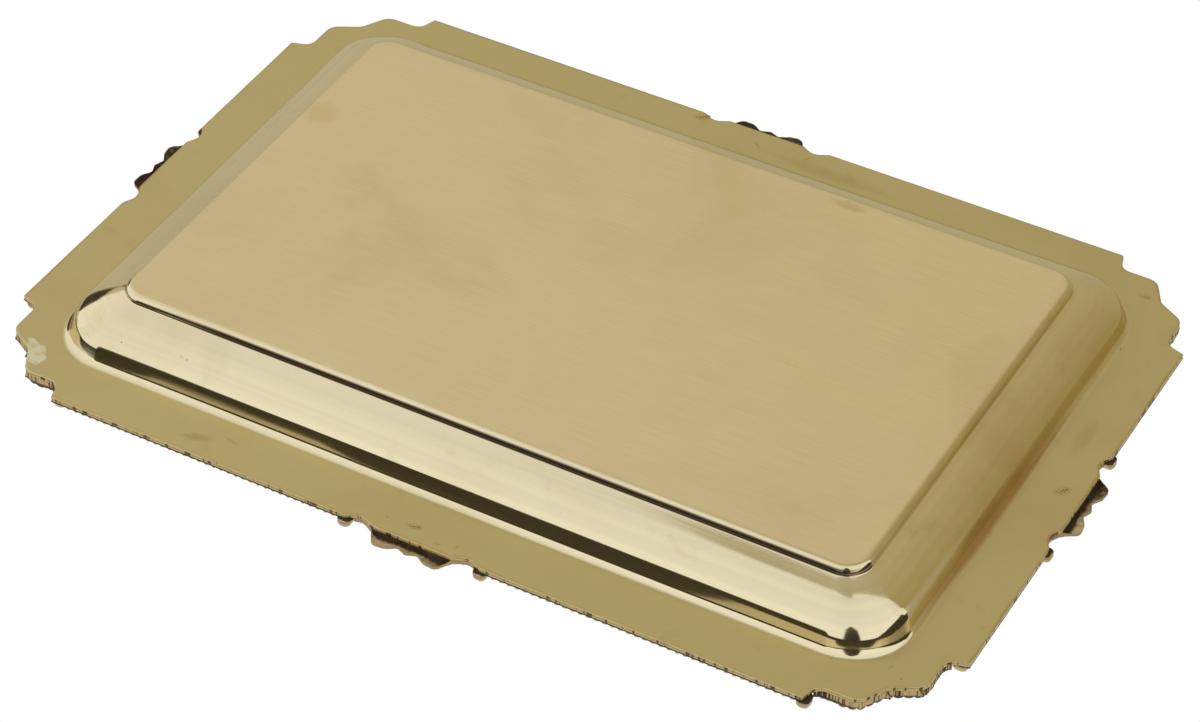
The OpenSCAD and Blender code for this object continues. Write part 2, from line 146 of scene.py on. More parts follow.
class TrayShape(bpy.types.PropertyGroup):
    rim_l: length(240, "Rim length", "Length of the rim between its straight short edges")
    rim_w: length(166, "Rim width", "Width of the rim between its straight long edges")
    sheet_t: length(1, "Sheet", "Thickness of the brass sheet")
    rim_h: length(12.5, "Rim height", "Height of the flange's underside")
    flange_w: length(12.6, "Flange", "Width of the flat flange")
    well_corner_r: length(15.5, "Well corner", "Plan radius of the well's corners at the flange")
    fillet_r: length(2.3, "Fillet", "Radius of the hollow fillet between the flange and the wall")
    wall_lean: FloatProperty(name="Wall lean", description="Lean of the wall from the vertical",
                             default=math.radians(14), subtype="ANGLE")
    more_lean: FloatProperty(name="More lean", description="Further lean in the middle of the long sides",
                             default=math.radians(7), subtype="ANGLE")
    shoulder_r: length(5, "Wall rounding", "Radius of the rounding from the wall to the shoulder")
    shoulder_w: length(10.5, "Shoulder", "Width of the sloping shoulder")
    shoulder_drop: length(5.4, "Shoulder drop", "Drop of the shoulder over its width")
    crown: length(0.5, "Crown", "Height of the crown that the shoulder's middle bends round")
    crown_r: length(37, "Crown rounding", "Radius of the crown")
    step_h: length(2.0, "Step height", "Height of the step round the base panel")
    step_w: length(0.25, "Step width", "Width of the step's sloping face")
    step_r: length(0.4, "Step foot", "Radius of the hollow bend at the foot of the step")
    panel_r: length(1.7, "Panel rounding", "Radius of the bend between the step and the base panel")
    panel_corner_r: length(6, "Panel corner", "Plan radius of the base panel's corners")
    corner_reach: length(26, "Corner reach", "Distance from the square corner to the end of the straight edge")
    lobe_depth: length(4.8, "Lobe depth", "Depth of the corner's lobes below the straight edge")
    notch_run: length(1.5, "Hollow run", "Run of the hollow between the edge's end and the lobe")
    lobe_place: length(15.4, "Lobe place", "Distance from the square corner to a lobe")
    dip_place: length(11.6, "Dip place", "Distance from the square corner to the dip between the lobes")
    lobe_r: length(3.6, "Lobe rounding", "Radius of the lobes")
    hollow_r: length(2.8, "Hollow rounding", "Radius of the hollows beside the lobes")
    side_run: length(10, "Side run", "Half the length of the run that carries a side ornament")
    side_notch: length(7, "Side notch", "Length of the shallow notch at each end of that run")
    side_notch_d: length(1.9, "Side notch depth", "Depth of the shallow notch")
    side_notch_r: length(3.2, "Side notch rounding", "Radius of the shallow notch")
    edge_end_r: length(1.2, "Edge end rounding", "Radius where a straight edge meets the shallow notch")
    tip_r: length(0.6, "Tip rounding", "Radius where a straight edge meets the corner")
    edge_r: length(0.12, "Edge break", "Rounding of the sheet's sharp edges")


class OrnamentShape(bpy.types.PropertyGroup):
    cast_t: length(1.5, "Rim", "Thickness of a casting's rim on the flange")
    leaf_t: length(0.9, "Leaf edge", "Thickness of a side ornament's thin outer rim")
    shell_rise: length(2.2, "Rise", "Rise of the shell over the casting's rim")
    corner_end_w: length(5.5, "End width", "Width of a corner casting at its two ends")
    corner_inner: length(15.4, "Corner reach", "Distance of the corner casting's inner edge on the diagonal")
    side_overhang: length(3.18, "Overhang", "Distance that a side ornament sticks out past the sheet")
    side_depth: length(8, "Side depth", "Width of a side ornament on the flange")
    side_end_w: length(2.6, "Side end width", "Width of a side ornament at its two ends")
    hollow: length(1.3, "Hollow", "Depth of the hollow under the overhanging leaf")
    leaf_rim: length(0.25, "Leaf rim", "Height of the leaf's lower rim over the flange")
    chamfer: length(0.15, "Chamfer", "Break of a casting's upper edge")
    corner_flutes: IntProperty(name="Corner flutes", description="Flutes of a corner shell", default=9)
    side_flutes: IntProperty(name="Side flutes", description="Flutes of a side shell", default=7)


class BorderShape(bpy.types.PropertyGroup):
    strip_w: length(5, "Width", "Width of a border strip")
    strip_h: length(1.9, "Height", "Height of a border strip at its crest")
    rib_pitch: length(1.9, "Pitch", "Spacing of the ribs")
    knob_r: length(1.8, "Knob", "Radius of the knob at each end of a strip")
    knob_square: FloatProperty(name="Knob squareness", description="1 for a ball, less for a blockier knob",
                               default=0.72)
    knob_share: FloatProperty(name="Knob width", description="Width of a knob as a share of its depth", default=0.9)
    knob_lift: length(0.63, "Knob lift", "Height of a knob's middle over the flange")
    knob_out: length(0.9, "Knob reach", "Distance that the knob beside a side ornament sticks out")
    end_knob_out: length(0.3, "End knob reach", "Distance that the knob beside a corner casting sticks out")
    knob_back: length(1.2, "Knob set-back", "Distance that a short strip's corner knob stays back from its end")
    rib_place: length(2.4, "Rib place", "Distance from the sheet's edge to the middle of the ribs")
    rib_long: length(2.45, "Rib length", "Half the length of a rib")
    rib_wide: length(0.86, "Rib width", "Half the width of a rib")
    rib_high: length(1.35, "Rib height", "Half the height of a rib")
    seam: length(0.15, "Seam", "Gap between neighbouring pieces on the flange")
    slant: FloatProperty(name="Slant", description="Turn of the ribs from square", default=0.35, subtype="ANGLE")


class BrassFinish(bpy.types.PropertyGroup):
    panel: colour((0.885, 0.755, 0.49), "Panel", "Satin brass of the base panel")
    polished: colour((0.87, 0.775, 0.515), "Polished", "Polished brass of the shoulder and wall")
    flange: colour((0.66, 0.565, 0.29), "Flange", "Olive satin brass of the flange")
    stain: colour((0.45, 0.27, 0.09), "Stain", "Warm tarnish")
    patina: colour((0.036, 0.020, 0.010), "Patina", "Dark patina in the castings' hollows")
    worn: colour((0.55, 0.43, 0.24), "Worn", "Brass worn bright on the castings' edges")


class StudioSetup(bpy.types.PropertyGroup):
    lens: FloatProperty(name="Lens", description="Focal length on a 36 mm sensor, in millimetres", default=117.04)
    distance: length(891.4, "Distance", "Distance of the camera from its aim")
    aim: FloatVectorProperty(name="Aim", description="Point that the camera looks at", subtype="TRANSLATION",
                             default=(0.00274, 0.00465, 0.01876))
    azimuth: FloatProperty(name="Azimuth", description="Turn of the camera round the tray, from the front",
                           default=math.radians(151.22), subtype="ANGLE")
    elevation: FloatProperty(name="Elevation", description="Height of the camera over the horizon",
                             default=math.radians(-40.73), subtype="ANGLE")
    roll: FloatProperty(name="Roll", description="Turn of the camera about its own axis",
                        default=math.radians(180.71), subtype="ANGLE")
    floor: colour((0.88, 0.88, 0.87), "Floor", "Plain pale floor")


def settings(context):
    """The four groups of settings: tray, ornaments, borders and finish."""
    s = context.scene
    return s.tray_shape, s.ornament_shape, s.border_shape, s.brass_finish


# Lines and outlines

def unit(v):
    return v / np.linalg.norm(v)


def ramp(x, low, high):
    """0 below low, 1 above high, eased between."""
    t = np.clip((np.asarray(x, float) - low) / (high - low), 0, 1)
    return t * t * (3 - 2 * t)


def rounded_line(bends, steps=8):
    """A line of bends (x, y, radius) with an arc of points in place of each rounded bend."""
    points = []
    for i, (x, y, r) in enumerate(bends):
        here = np.array([x, y], float)
        if i in (0, len(bends) - 1) or r == 0:
            points.append(here)
            continue
        back = unit(np.array(bends[i - 1][:2], float) - here)
        on = unit(np.array(bends[i + 1][:2], float) - here)
        half = math.acos(np.clip(back @ on, -1, 1)) / 2
        sides = [np.linalg.norm(np.array(bends[k][:2], float) - here) for k in (i - 1, i + 1)]
        r = min(r, 0.95 * min(sides) * math.tan(half))
        centre = here + unit(back + on) * r / math.sin(half)
        first = here + back * r / math.tan(half) - centre
        last = here + on * r / math.tan(half) - centre
        sweep = math.pi - 2 * half
        for k in range(steps + 1):
            t = sweep * k / steps
            points.append(centre + (first * math.sin(sweep - t) + last * math.sin(t)) / math.sin(sweep))
    return np.array(points)


def spans(line):
    """Distances along a line of points, from 0."""
    return np.concatenate([[0], np.cumsum(np.linalg.norm(np.diff(line, axis=0), axis=1))])


def resample(line, count):
    """Evenly spaced points along a line."""
    along = spans(line)
    at = np.linspace(0, along[-1], count + 1)
    return np.stack([np.interp(at, along, line[:, k]) for k in range(line.shape[1])], axis=1)


def resample_by_turn(line, longest, turn):
    """Points along a line, spaced by its length where it is straight and by its turning where it bends."""
    steps = np.diff(line, axis=0)
    lengths = np.linalg.norm(steps, axis=1)
    heading = np.unwrap(np.arctan2(steps[:, 1], steps[:, 0]))
    turning = np.abs(np.diff(heading))
    share = lengths / longest
    share[:-1] += turning / turn / 2
    share[1:] += turning / turn / 2
    weight = np.concatenate([[0], np.cumsum(share)])
    at = np.linspace(0, weight[-1], int(math.ceil(weight[-1])) + 1)
    return np.stack([np.interp(at, weight, line[:, k]) for k in (0, 1)], axis=1)


def corner_bends(t):
    """The corner of the sheet's outline, measured inwards from the square corner."""
    half = [
        (t.corner_reach, 0, t.tip_r),
        (t.corner_reach - t.notch_run, t.lobe_depth, t.hollow_r),
        (t.lobe_place, t.lobe_depth, t.lobe_r),
    ]
    return half + [(t.dip_place, t.dip_place, t.hollow_r)] + [(y, x, r) for x, y, r in half[::-1]]


def quarter_outline(t):
    """The sheet's outline from the middle of the back side to the middle of the right side."""
    side = [
        (t.side_run, 0, 0),
        (t.side_run + t.side_notch / 2, t.side_notch_d, t.side_notch_r),
        (t.side_run + t.side_notch, 0, t.edge_end_r),
    ]
    half_l, half_w = t.rim_l / 2, t.rim_w / 2
    bends = [(0, half_w, 0)]
    bends += [(x, half_w - y, r) for x, y, r in side]
    bends += [(half_l - x, half_w - y, r) for x, y, r in corner_bends(t)]
    bends += [(half_l - y, x, r) for x, y, r in side[::-1]]
    bends += [(half_l, 0, 0)]
    return rounded_line(bends)


def whole_outline(t):
    """The whole outline, as evenly shared stations that run from the middle of the right side, anticlockwise."""
    quarter = resample_by_turn(quarter_outline(t), 3 * MM, math.radians(9))
    up = quarter[::-1]
    left = quarter * (-1, 1)
    down = quarter[::-1] * (-1, -1)
    right = quarter * (1, -1)
    return np.concatenate([up[:-1], left[:-1], down[:-1], right[:-1]])


def offset_closed(line, distance):
    """A closed line moved to its left, which is inwards on an anticlockwise line."""
    ahead = np.roll(line, -1, axis=0) - np.roll(line, 1, axis=0)
    ahead /= np.linalg.norm(ahead, axis=1)[:, None]
    return line + np.stack([-ahead[:, 1], ahead[:, 0]], axis=1) * distance


# Section of the sheet

def section_corners(t, more_lean=0.0):
    """Corners, radii and signs of the underside's section: distance inwards from the flange, and height."""
    wall_drop = t.rim_h - t.shoulder_drop - t.step_h
    fillet_run = t.fillet_r * math.tan((math.pi / 2 - t.wall_lean) / 2)
    foot = fillet_run + wall_drop * math.tan(t.wall_lean)
    step = foot + t.shoulder_w
    inset = step + t.step_w
    shift = wall_drop / 2 * math.tan(more_lean)
    slope = unit(np.array([t.shoulder_w, -t.shoulder_drop]))
    middle = np.array([foot + t.shoulder_w / 2, t.rim_h - wall_drop - t.shoulder_drop / 2])
    middle += np.array([slope[1], -slope[0]]) * t.crown
    corners = np.array([
        (0, t.rim_h),
        (fillet_run - shift, t.rim_h),
        (foot + shift, t.rim_h - wall_drop),
        middle,
        (step, t.step_h),
        (inset, 0),
        (inset + 2 * t.panel_r, 0),
    ])
    radii = (0, t.fillet_r, t.shoulder_r, t.crown_r, t.step_r, t.panel_r, 0)
    return corners, radii, (0, 1, -1, -1, 1, -1, 0)


def section(t, up, more_lean=0.0, parts=None):
    """The section lifted square to itself by a distance, and the parts into which each of its spans is cut."""
    corners, radii, signs = section_corners(t, more_lean)
    ahead = np.diff(corners, axis=0)
    ahead /= np.linalg.norm(ahead, axis=1)[:, None]
    normal = np.stack([-ahead[:, 1], ahead[:, 0]], axis=1)
    bends = []
    for i, corner in enumerate(corners):
        before = normal[max(i - 1, 0)]
        after = normal[min(i, len(normal) - 1)]
        x, z = corner + (before + after) * up / (1 + before @ after)
        bends.append((x, z, 0 if radii[i] == 0 else max(radii[i] + signs[i] * up, 0.15 * MM)))
    line = rounded_line(bends, 9)
    parts = parts or [max(1, round(np.linalg.norm(b - a) / (1.2 * MM))) for a, b in zip(line[:-1], line[1:])]
    rows = [line[0]]
    for a, b, cut in zip(line[:-1], line[1:], parts):
        rows += [a + (b - a) * k / cut for k in range(1, cut + 1)]
    return np.array(rows), parts


class WellRing:
    """Stations round the well that keep their place on every ring, from the flange down to the panel."""

    def __init__(self, t, outline):
        self.t = t
        self.inset = section_corners(t)[0][-2][0]
        self.half = np.array([t.rim_l, t.rim_w]) / 2 - t.flange_w
        flat = self.half - t.well_corner_r
        core = np.clip(outline, -flat, flat)
        away = outline - core
        self.sign = np.where(np.abs(outline) > 1e-9, np.sign(outline), 1)
        self.share = core / flat
        self.turn = away / np.linalg.norm(away, axis=1)[:, None]
        along = core[:, 0] / flat[0]
        places, shares = np.array(LEAN).T
        self.lean_share = np.interp(along, places, shares) * ramp(np.abs(self.turn[:, 1]), 0.35, 0.85)

    def radius(self, inwards):
        eased = np.clip(inwards / self.inset, 0, 1)
        r = self.t.well_corner_r + (self.t.panel_corner_r - self.t.well_corner_r) * eased
        return r - np.maximum(inwards - self.inset, 0)

    def at(self, inwards, z):
        inwards = np.broadcast_to(inwards, self.lean_share.shape)[:, None]
        r = self.radius(inwards)
        flat = self.half - inwards - r
        plan = self.share * flat + self.turn * r
        return np.column_stack([plan, np.broadcast_to(z, self.lean_share.shape)])


# Meshes

def facing_out(points, faces):
    """The faces, all turned round if they enclose a negative volume."""
    points = np.asarray(points, float)
    a, b, c = points[np.array([(f[0], f[k], f[k + 1]) for f in faces for k in range(1, len(f) - 1)])].swapaxes(0, 1)
    return faces if np.sum(a * np.cross(b, c)) > 0 else [f[::-1] for f in faces]


def loft(sections):
    """A closed body through closed sections of points, as an array of stations by points by 3."""
    stations, around = sections.shape[:2]
    points = np.concatenate([sections.reshape(-1, 3), sections[[0, -1]].mean(axis=1)])
    faces = grid_faces(stations, around, closed=True)
    last = (stations - 1) * around
    for j in range(around):
        following = (j + 1) % around
        faces.append((stations * around, following, j))
        faces.append((stations * around + 1, last + j, last + following))
    return points, faces


def joined(bodies):
    """Several bodies as one list of points and one of faces."""
    points, faces, start = [], [], 0
    for more, listed in bodies:
        points.append(more)
        faces += [tuple(i + start for i in face) for face in listed]
        start += len(more)
    return np.concatenate(points), faces


def new_object(name, points, faces, materials, uv=None, attributes=None, smooth=True):
    """A mesh object from points and faces, with a UV map from one pair a point and float attributes."""
    mesh = bpy.data.meshes.new(name)
    mesh.from_pydata(np.asarray(points, float).tolist(), [], [list(map(int, f)) for f in faces])
    for material in materials:
        mesh.materials.append(material)
    mesh.polygons.foreach_set("use_smooth", [smooth] * len(mesh.polygons))
    if uv is not None:
        layer = mesh.uv_layers.new(name="flow")
        corner = np.zeros(len(mesh.loops), np.int32)
        mesh.loops.foreach_get("vertex_index", corner)
        layer.data.foreach_set("uv", np.asarray(uv, np.float32)[corner].ravel())
    for key, values in (attributes or {}).items():
        layer = mesh.attributes.new(key, "FLOAT", "POINT")
        layer.data.foreach_set("value", np.asarray(values, np.float32))
    mesh.validate()
    mesh.update()
    piece = bpy.data.objects.new(name, mesh)
    bpy.context.scene.collection.objects.link(piece)
    return piece


def grid_faces(rows, cols, closed=False):
    """Quads between rows of points; a closed grid joins its last column to its first."""
    faces = []
    for k in range(rows - 1):
        for i in range(cols if closed else cols - 1):
            a = k * cols + i
            b = k * cols + (i + 1) % cols
            faces.append((a, b, b + cols, a + cols))
    return faces


def dress(piece, nodes):
    """The piece rides on the tray and stands for its CAD nodes."""
    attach(piece, "root")
    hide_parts(*nodes)


# Castings

def shell_relief(u, w, flutes, fan):
    """Height, from 0 to 1, of a fan of flutes with a scroll and a leaf at both sides.

    u runs along the casting from -1 to 1, and w across it from 0 at the inner edge to 1 at the outer edge."""
    side = np.abs(u)
    ridge = np.abs(np.cos(math.pi * flutes * u / (2 * fan))) ** 0.55
    swell = np.sin(math.pi * (0.08 + 0.80 * w)) ** 0.8
    shell = swell * (0.52 + 0.48 * ridge * ramp(w, 0.02, 0.25))
    boss = 0.9 * np.sqrt(np.clip(1 - (u / (0.30 * fan)) ** 2 - (w / 0.20) ** 2, 0, 1))
    shell = np.maximum(shell * ramp(w, 0.02, 0.16), boss)
    along = np.clip((side - fan) / (1 - fan), 0, 1)
    off = np.abs(2 * w - 1)
    vein = np.abs(np.cos(math.pi * (5.5 * along - 1.3 * off))) ** 0.6
    leaf = np.clip(1 - off ** 2.2, 0, 1) ** 0.6 * (0.95 - 0.55 * along) * (0.66 + 0.34 * vein)
    rib = np.exp(-(off / 0.10) ** 2) * 0.12 * ramp(along, 0.1, 0.3)
    leaf = leaf + rib
    place = (side - fan * 1.12) / (0.13 * fan)
    scroll = np.sqrt(np.clip(1 - place ** 2, 0, 1)) * (0.72 + 0.28 * np.cos(math.pi * (w - 0.35)))
    eye = (place * 0.62) ** 2 + ((w - 0.24) / 0.17) ** 2
    volute = np.sqrt(np.clip(1 - eye, 0, 1)) * (0.78 + 0.22 * np.cos(9 * np.sqrt(np.clip(eye, 0, 4))))
    relief = np.where(side < fan, shell, leaf)
    return np.clip(np.maximum(np.maximum(relief, scroll * ramp(w, 0.0, 0.1)), volute), 0, 1.02)


def cast_sections(inner, outer, height, top_rows, wall):
    """Closed sections of a casting: its top from the inner to the outer line, then its wall and underside."""
    mixed = inner[:, None] * (1 - top_rows[None, :, None]) + outer[:, None] * top_rows[None, :, None]
    top = np.concatenate([mixed, height[:, :, None]], axis=2)
    foot = np.concatenate([inner, np.zeros((len(inner), 1))], axis=1)[:, None]
    return np.concatenate([foot, top, wall], axis=1)


# Shader trees

def add(tree, kind, inputs=None, **values):
    """A node with its settings, and with inputs that are set to values or joined to sockets."""
    node = tree.nodes.new(kind)
    for key, value in values.items():
        setattr(node, key, value)
    for key, value in (inputs or {}).items():
        if isinstance(value, bpy.types.NodeSocket):
            tree.links.new(value, node.inputs[key])
        else:
            node.inputs[key].default_value = value
    return node


def calc(tree, operation, a, b=0.0, clamp=False):
    """The result of a Math node."""
    return add(tree, "ShaderNodeMath", {0: a, 1: b}, operation=operation, use_clamp=clamp).outputs[0]


def blend(tree, share, a, b, mode="MIX"):
    """Colour a changed to colour b by a share."""
    node = add(tree, "ShaderNodeMix", data_type="RGBA", blend_type=mode)
    for socket, value in zip((node.inputs[0], node.inputs[6], node.inputs[7]), (share, a, b)):
        if isinstance(value, bpy.types.NodeSocket):
            tree.links.new(value, socket)
        elif socket.type == "RGBA":
            socket.default_value = (*value[:3], 1)
        else:
            socket.default_value = value
    return node.outputs[2]


def between(tree, value, low, high, to_low=0.0, to_high=1.0):
    """A value mapped smoothly from one range to another."""
    node = add(tree, "ShaderNodeMapRange", {0: value, 1: low, 2: high, 3: to_low, 4: to_high},
               interpolation_type="SMOOTHSTEP")
    return node.outputs[0]


def attribute(tree, name):
    """A float attribute of the piece."""
    return add(tree, "ShaderNodeAttribute", attribute_name=name).outputs["Fac"]


def object_place(tree):
    """Object coordinates, in metres."""
    return add(tree, "ShaderNodeTexCoord").outputs["Object"]


def flow_place(tree):
    """The piece's own map: distance round the tray, and distance across its section, in metres."""
    return add(tree, "ShaderNodeUVMap", uv_map="flow").outputs[0]


def effect(name, inputs, outputs):
    """A new shader node group, its tree, its inputs and its output node."""
    tree = bpy.data.node_groups.new(name, "ShaderNodeTree")
    for key, kind, default in inputs:
        socket = tree.interface.new_socket(key, in_out="INPUT", socket_type=kind)
        if default is not None:
            socket.default_value = default
    for key, kind in outputs:
        tree.interface.new_socket(key, in_out="OUTPUT", socket_type=kind)
    source = add(tree, "NodeGroupInput")
    sink = add(tree, "NodeGroupOutput")
    return tree, source.outputs, sink


def use(tree, name, inputs):
    """An effect's node group placed in a material."""
    node = add(tree, "ShaderNodeGroup", node_tree=bpy.data.node_groups[name])
    for key, value in inputs.items():
        if isinstance(value, bpy.types.NodeSocket):
            tree.links.new(value, node.inputs[key])
        else:
            node.inputs[key].default_value = value
    return node.outputs


def make_grain():
    """Fine lines: noise stretched by its own scale along each axis."""
    tree, source, sink = effect(
        "grain",
        [("Place", "NodeSocketVector", None), ("Scale", "NodeSocketVector", (1, 1, 1)),
         ("Detail", "NodeSocketFloat", 3.0)],
        [("Lines", "NodeSocketFloat")],
    )
    place = add(tree, "ShaderNodeVectorMath", {0: source["Place"], 1: source["Scale"]}, operation="MULTIPLY")
    noise = add(tree, "ShaderNodeTexNoise", {"Vector": place.outputs[0], "Scale": 1.0, "Detail": source["Detail"]})
    tree.links.new(noise.outputs["Fac"], sink.inputs["Lines"])


def make_tarnish():
    """Cloudy tarnish: a clean colour changed to a stained one in soft patches."""
    tree, source, sink = effect(
        "tarnish",
        [("Place", "NodeSocketVector", None), ("Scale", "NodeSocketFloat", 40.0),
         ("Clean", "NodeSocketColor", (1, 1, 1, 1)), ("Stained", "NodeSocketColor", (1, 1, 1, 1)),
         ("Start", "NodeSocketFloat", 0.5), ("Full", "NodeSocketFloat", 0.8), ("Amount", "NodeSocketFloat", 0.5)],
        [("Color", "NodeSocketColor"), ("Mask", "NodeSocketFloat")],
    )
    noise = add(tree, "ShaderNodeTexNoise", {"Vector": source["Place"], "Scale": source["Scale"], "Detail": 5.0,
                                            "Roughness": 0.62, "Distortion": 0.6})
    mask = between(tree, noise.outputs["Fac"], source["Start"], source["Full"])
    mask = calc(tree, "MULTIPLY", mask, source["Amount"])
    tree.links.new(blend(tree, mask, source["Clean"], source["Stained"]), sink.inputs["Color"])
    tree.links.new(mask, sink.inputs["Mask"])


def make_specks():
    """Small dark specks: some cells of a pattern have one, each of its own size."""
    tree, source, sink = effect(
        "specks",
        [("Place", "NodeSocketVector", None), ("Cells", "NodeSocketFloat", 200.0), ("Size", "NodeSocketFloat", 0.2),
         ("Share", "NodeSocketFloat", 0.2)],
        [("Mask", "NodeSocketFloat")],
    )
    cells = add(tree, "ShaderNodeTexVoronoi", {"Vector": source["Place"], "Scale": source["Cells"]})
    chance = add(tree, "ShaderNodeSeparateColor", {0: cells.outputs["Color"]}).outputs
    size = calc(tree, "MULTIPLY", source["Size"], chance[1])
    spot = calc(tree, "LESS_THAN", cells.outputs["Distance"], size)
    chosen = calc(tree, "LESS_THAN", chance[0], source["Share"])
    tree.links.new(calc(tree, "MULTIPLY", spot, chosen), sink.inputs["Mask"])


def make_stain():
    """One soft stain with an uneven edge: an ellipse round a middle, turned about the upright axis."""
    tree, source, sink = effect(
        "stain",
        [("Place", "NodeSocketVector", None), ("Middle", "NodeSocketVector", (0, 0, 0)),
         ("Share", "NodeSocketVector", (1, 1, 0)), ("Turn", "NodeSocketFloat", 0.0),
         ("Gaps", "NodeSocketFloat", 1.0)],
        [("Mask", "NodeSocketFloat")],
    )
    away = add(tree, "ShaderNodeVectorMath", {0: source["Place"], 1: source["Middle"]}, operation="SUBTRACT").outputs[0]
    turned = add(tree, "ShaderNodeVectorRotate", {"Vector": away, "Angle": source["Turn"]},
                 rotation_type="Z_AXIS").outputs[0]
    scaled = add(tree, "ShaderNodeVectorMath", {0: turned, 1: source["Share"]}, operation="MULTIPLY").outputs[0]
    far = add(tree, "ShaderNodeVectorMath", {0: scaled}, operation="LENGTH").outputs[1]
    noise = add(tree, "ShaderNodeTexNoise", {"Vector": scaled, "Scale": 1.7, "Detail": 2.0}).outputs["Fac"]
    far = calc(tree, "ADD", far, calc(tree, "SUBTRACT", noise, 0.5))
    broken = add(tree, "ShaderNodeTexNoise", {"Vector": scaled, "Scale": 4.0, "Detail": 3.0}).outputs["Fac"]
    broken = between(tree, broken, 0.45, 0.55, source["Gaps"], 1.0)
    mask = calc(tree, "MULTIPLY", between(tree, far, 0.3, 1.0, 1.0, 0.0), broken)
    tree.links.new(mask, sink.inputs["Mask"])


def make_wear():
    """A mask that reaches the high values of its relief first, broken up by noise: wear on the high places, and the
    painted sheen and pale knobs where it is given the pale tones.
    """
    tree, source, sink = effect(
        "wear_and_sheen",
        [("Place", "NodeSocketVector", None), ("Relief", "NodeSocketFloat", 0.5), ("Scale", "NodeSocketFloat", 900.0),
         ("Start", "NodeSocketFloat", 0.35), ("Full", "NodeSocketFloat", 0.75)],
        [("Mask", "NodeSocketFloat")],
    )
    noise = add(tree, "ShaderNodeTexNoise", {"Vector": source["Place"], "Scale": source["Scale"], "Detail": 4.0})
    rough = calc(tree, "MULTIPLY", calc(tree, "SUBTRACT", noise.outputs["Fac"], 0.5), 0.5)
    mask = between(tree, calc(tree, "ADD", source["Relief"], rough), source["Start"], source["Full"])
    tree.links.new(mask, sink.inputs["Mask"])


def new_material(name):
    """A material with a plain Principled BSDF: its tree and that node."""
    material = bpy.data.materials.new(name)
    material.use_nodes = True
    tree = material.node_tree
    shader = tree.nodes["Principled BSDF"]
    return material, tree, shader


def bump(tree, height, strength, distance, normal=None):
    inputs = {"Height": height, "Strength": strength, "Distance": distance}
    if normal is not None:
        inputs["Normal"] = normal
    return add(tree, "ShaderNodeBump", inputs).outputs[0]


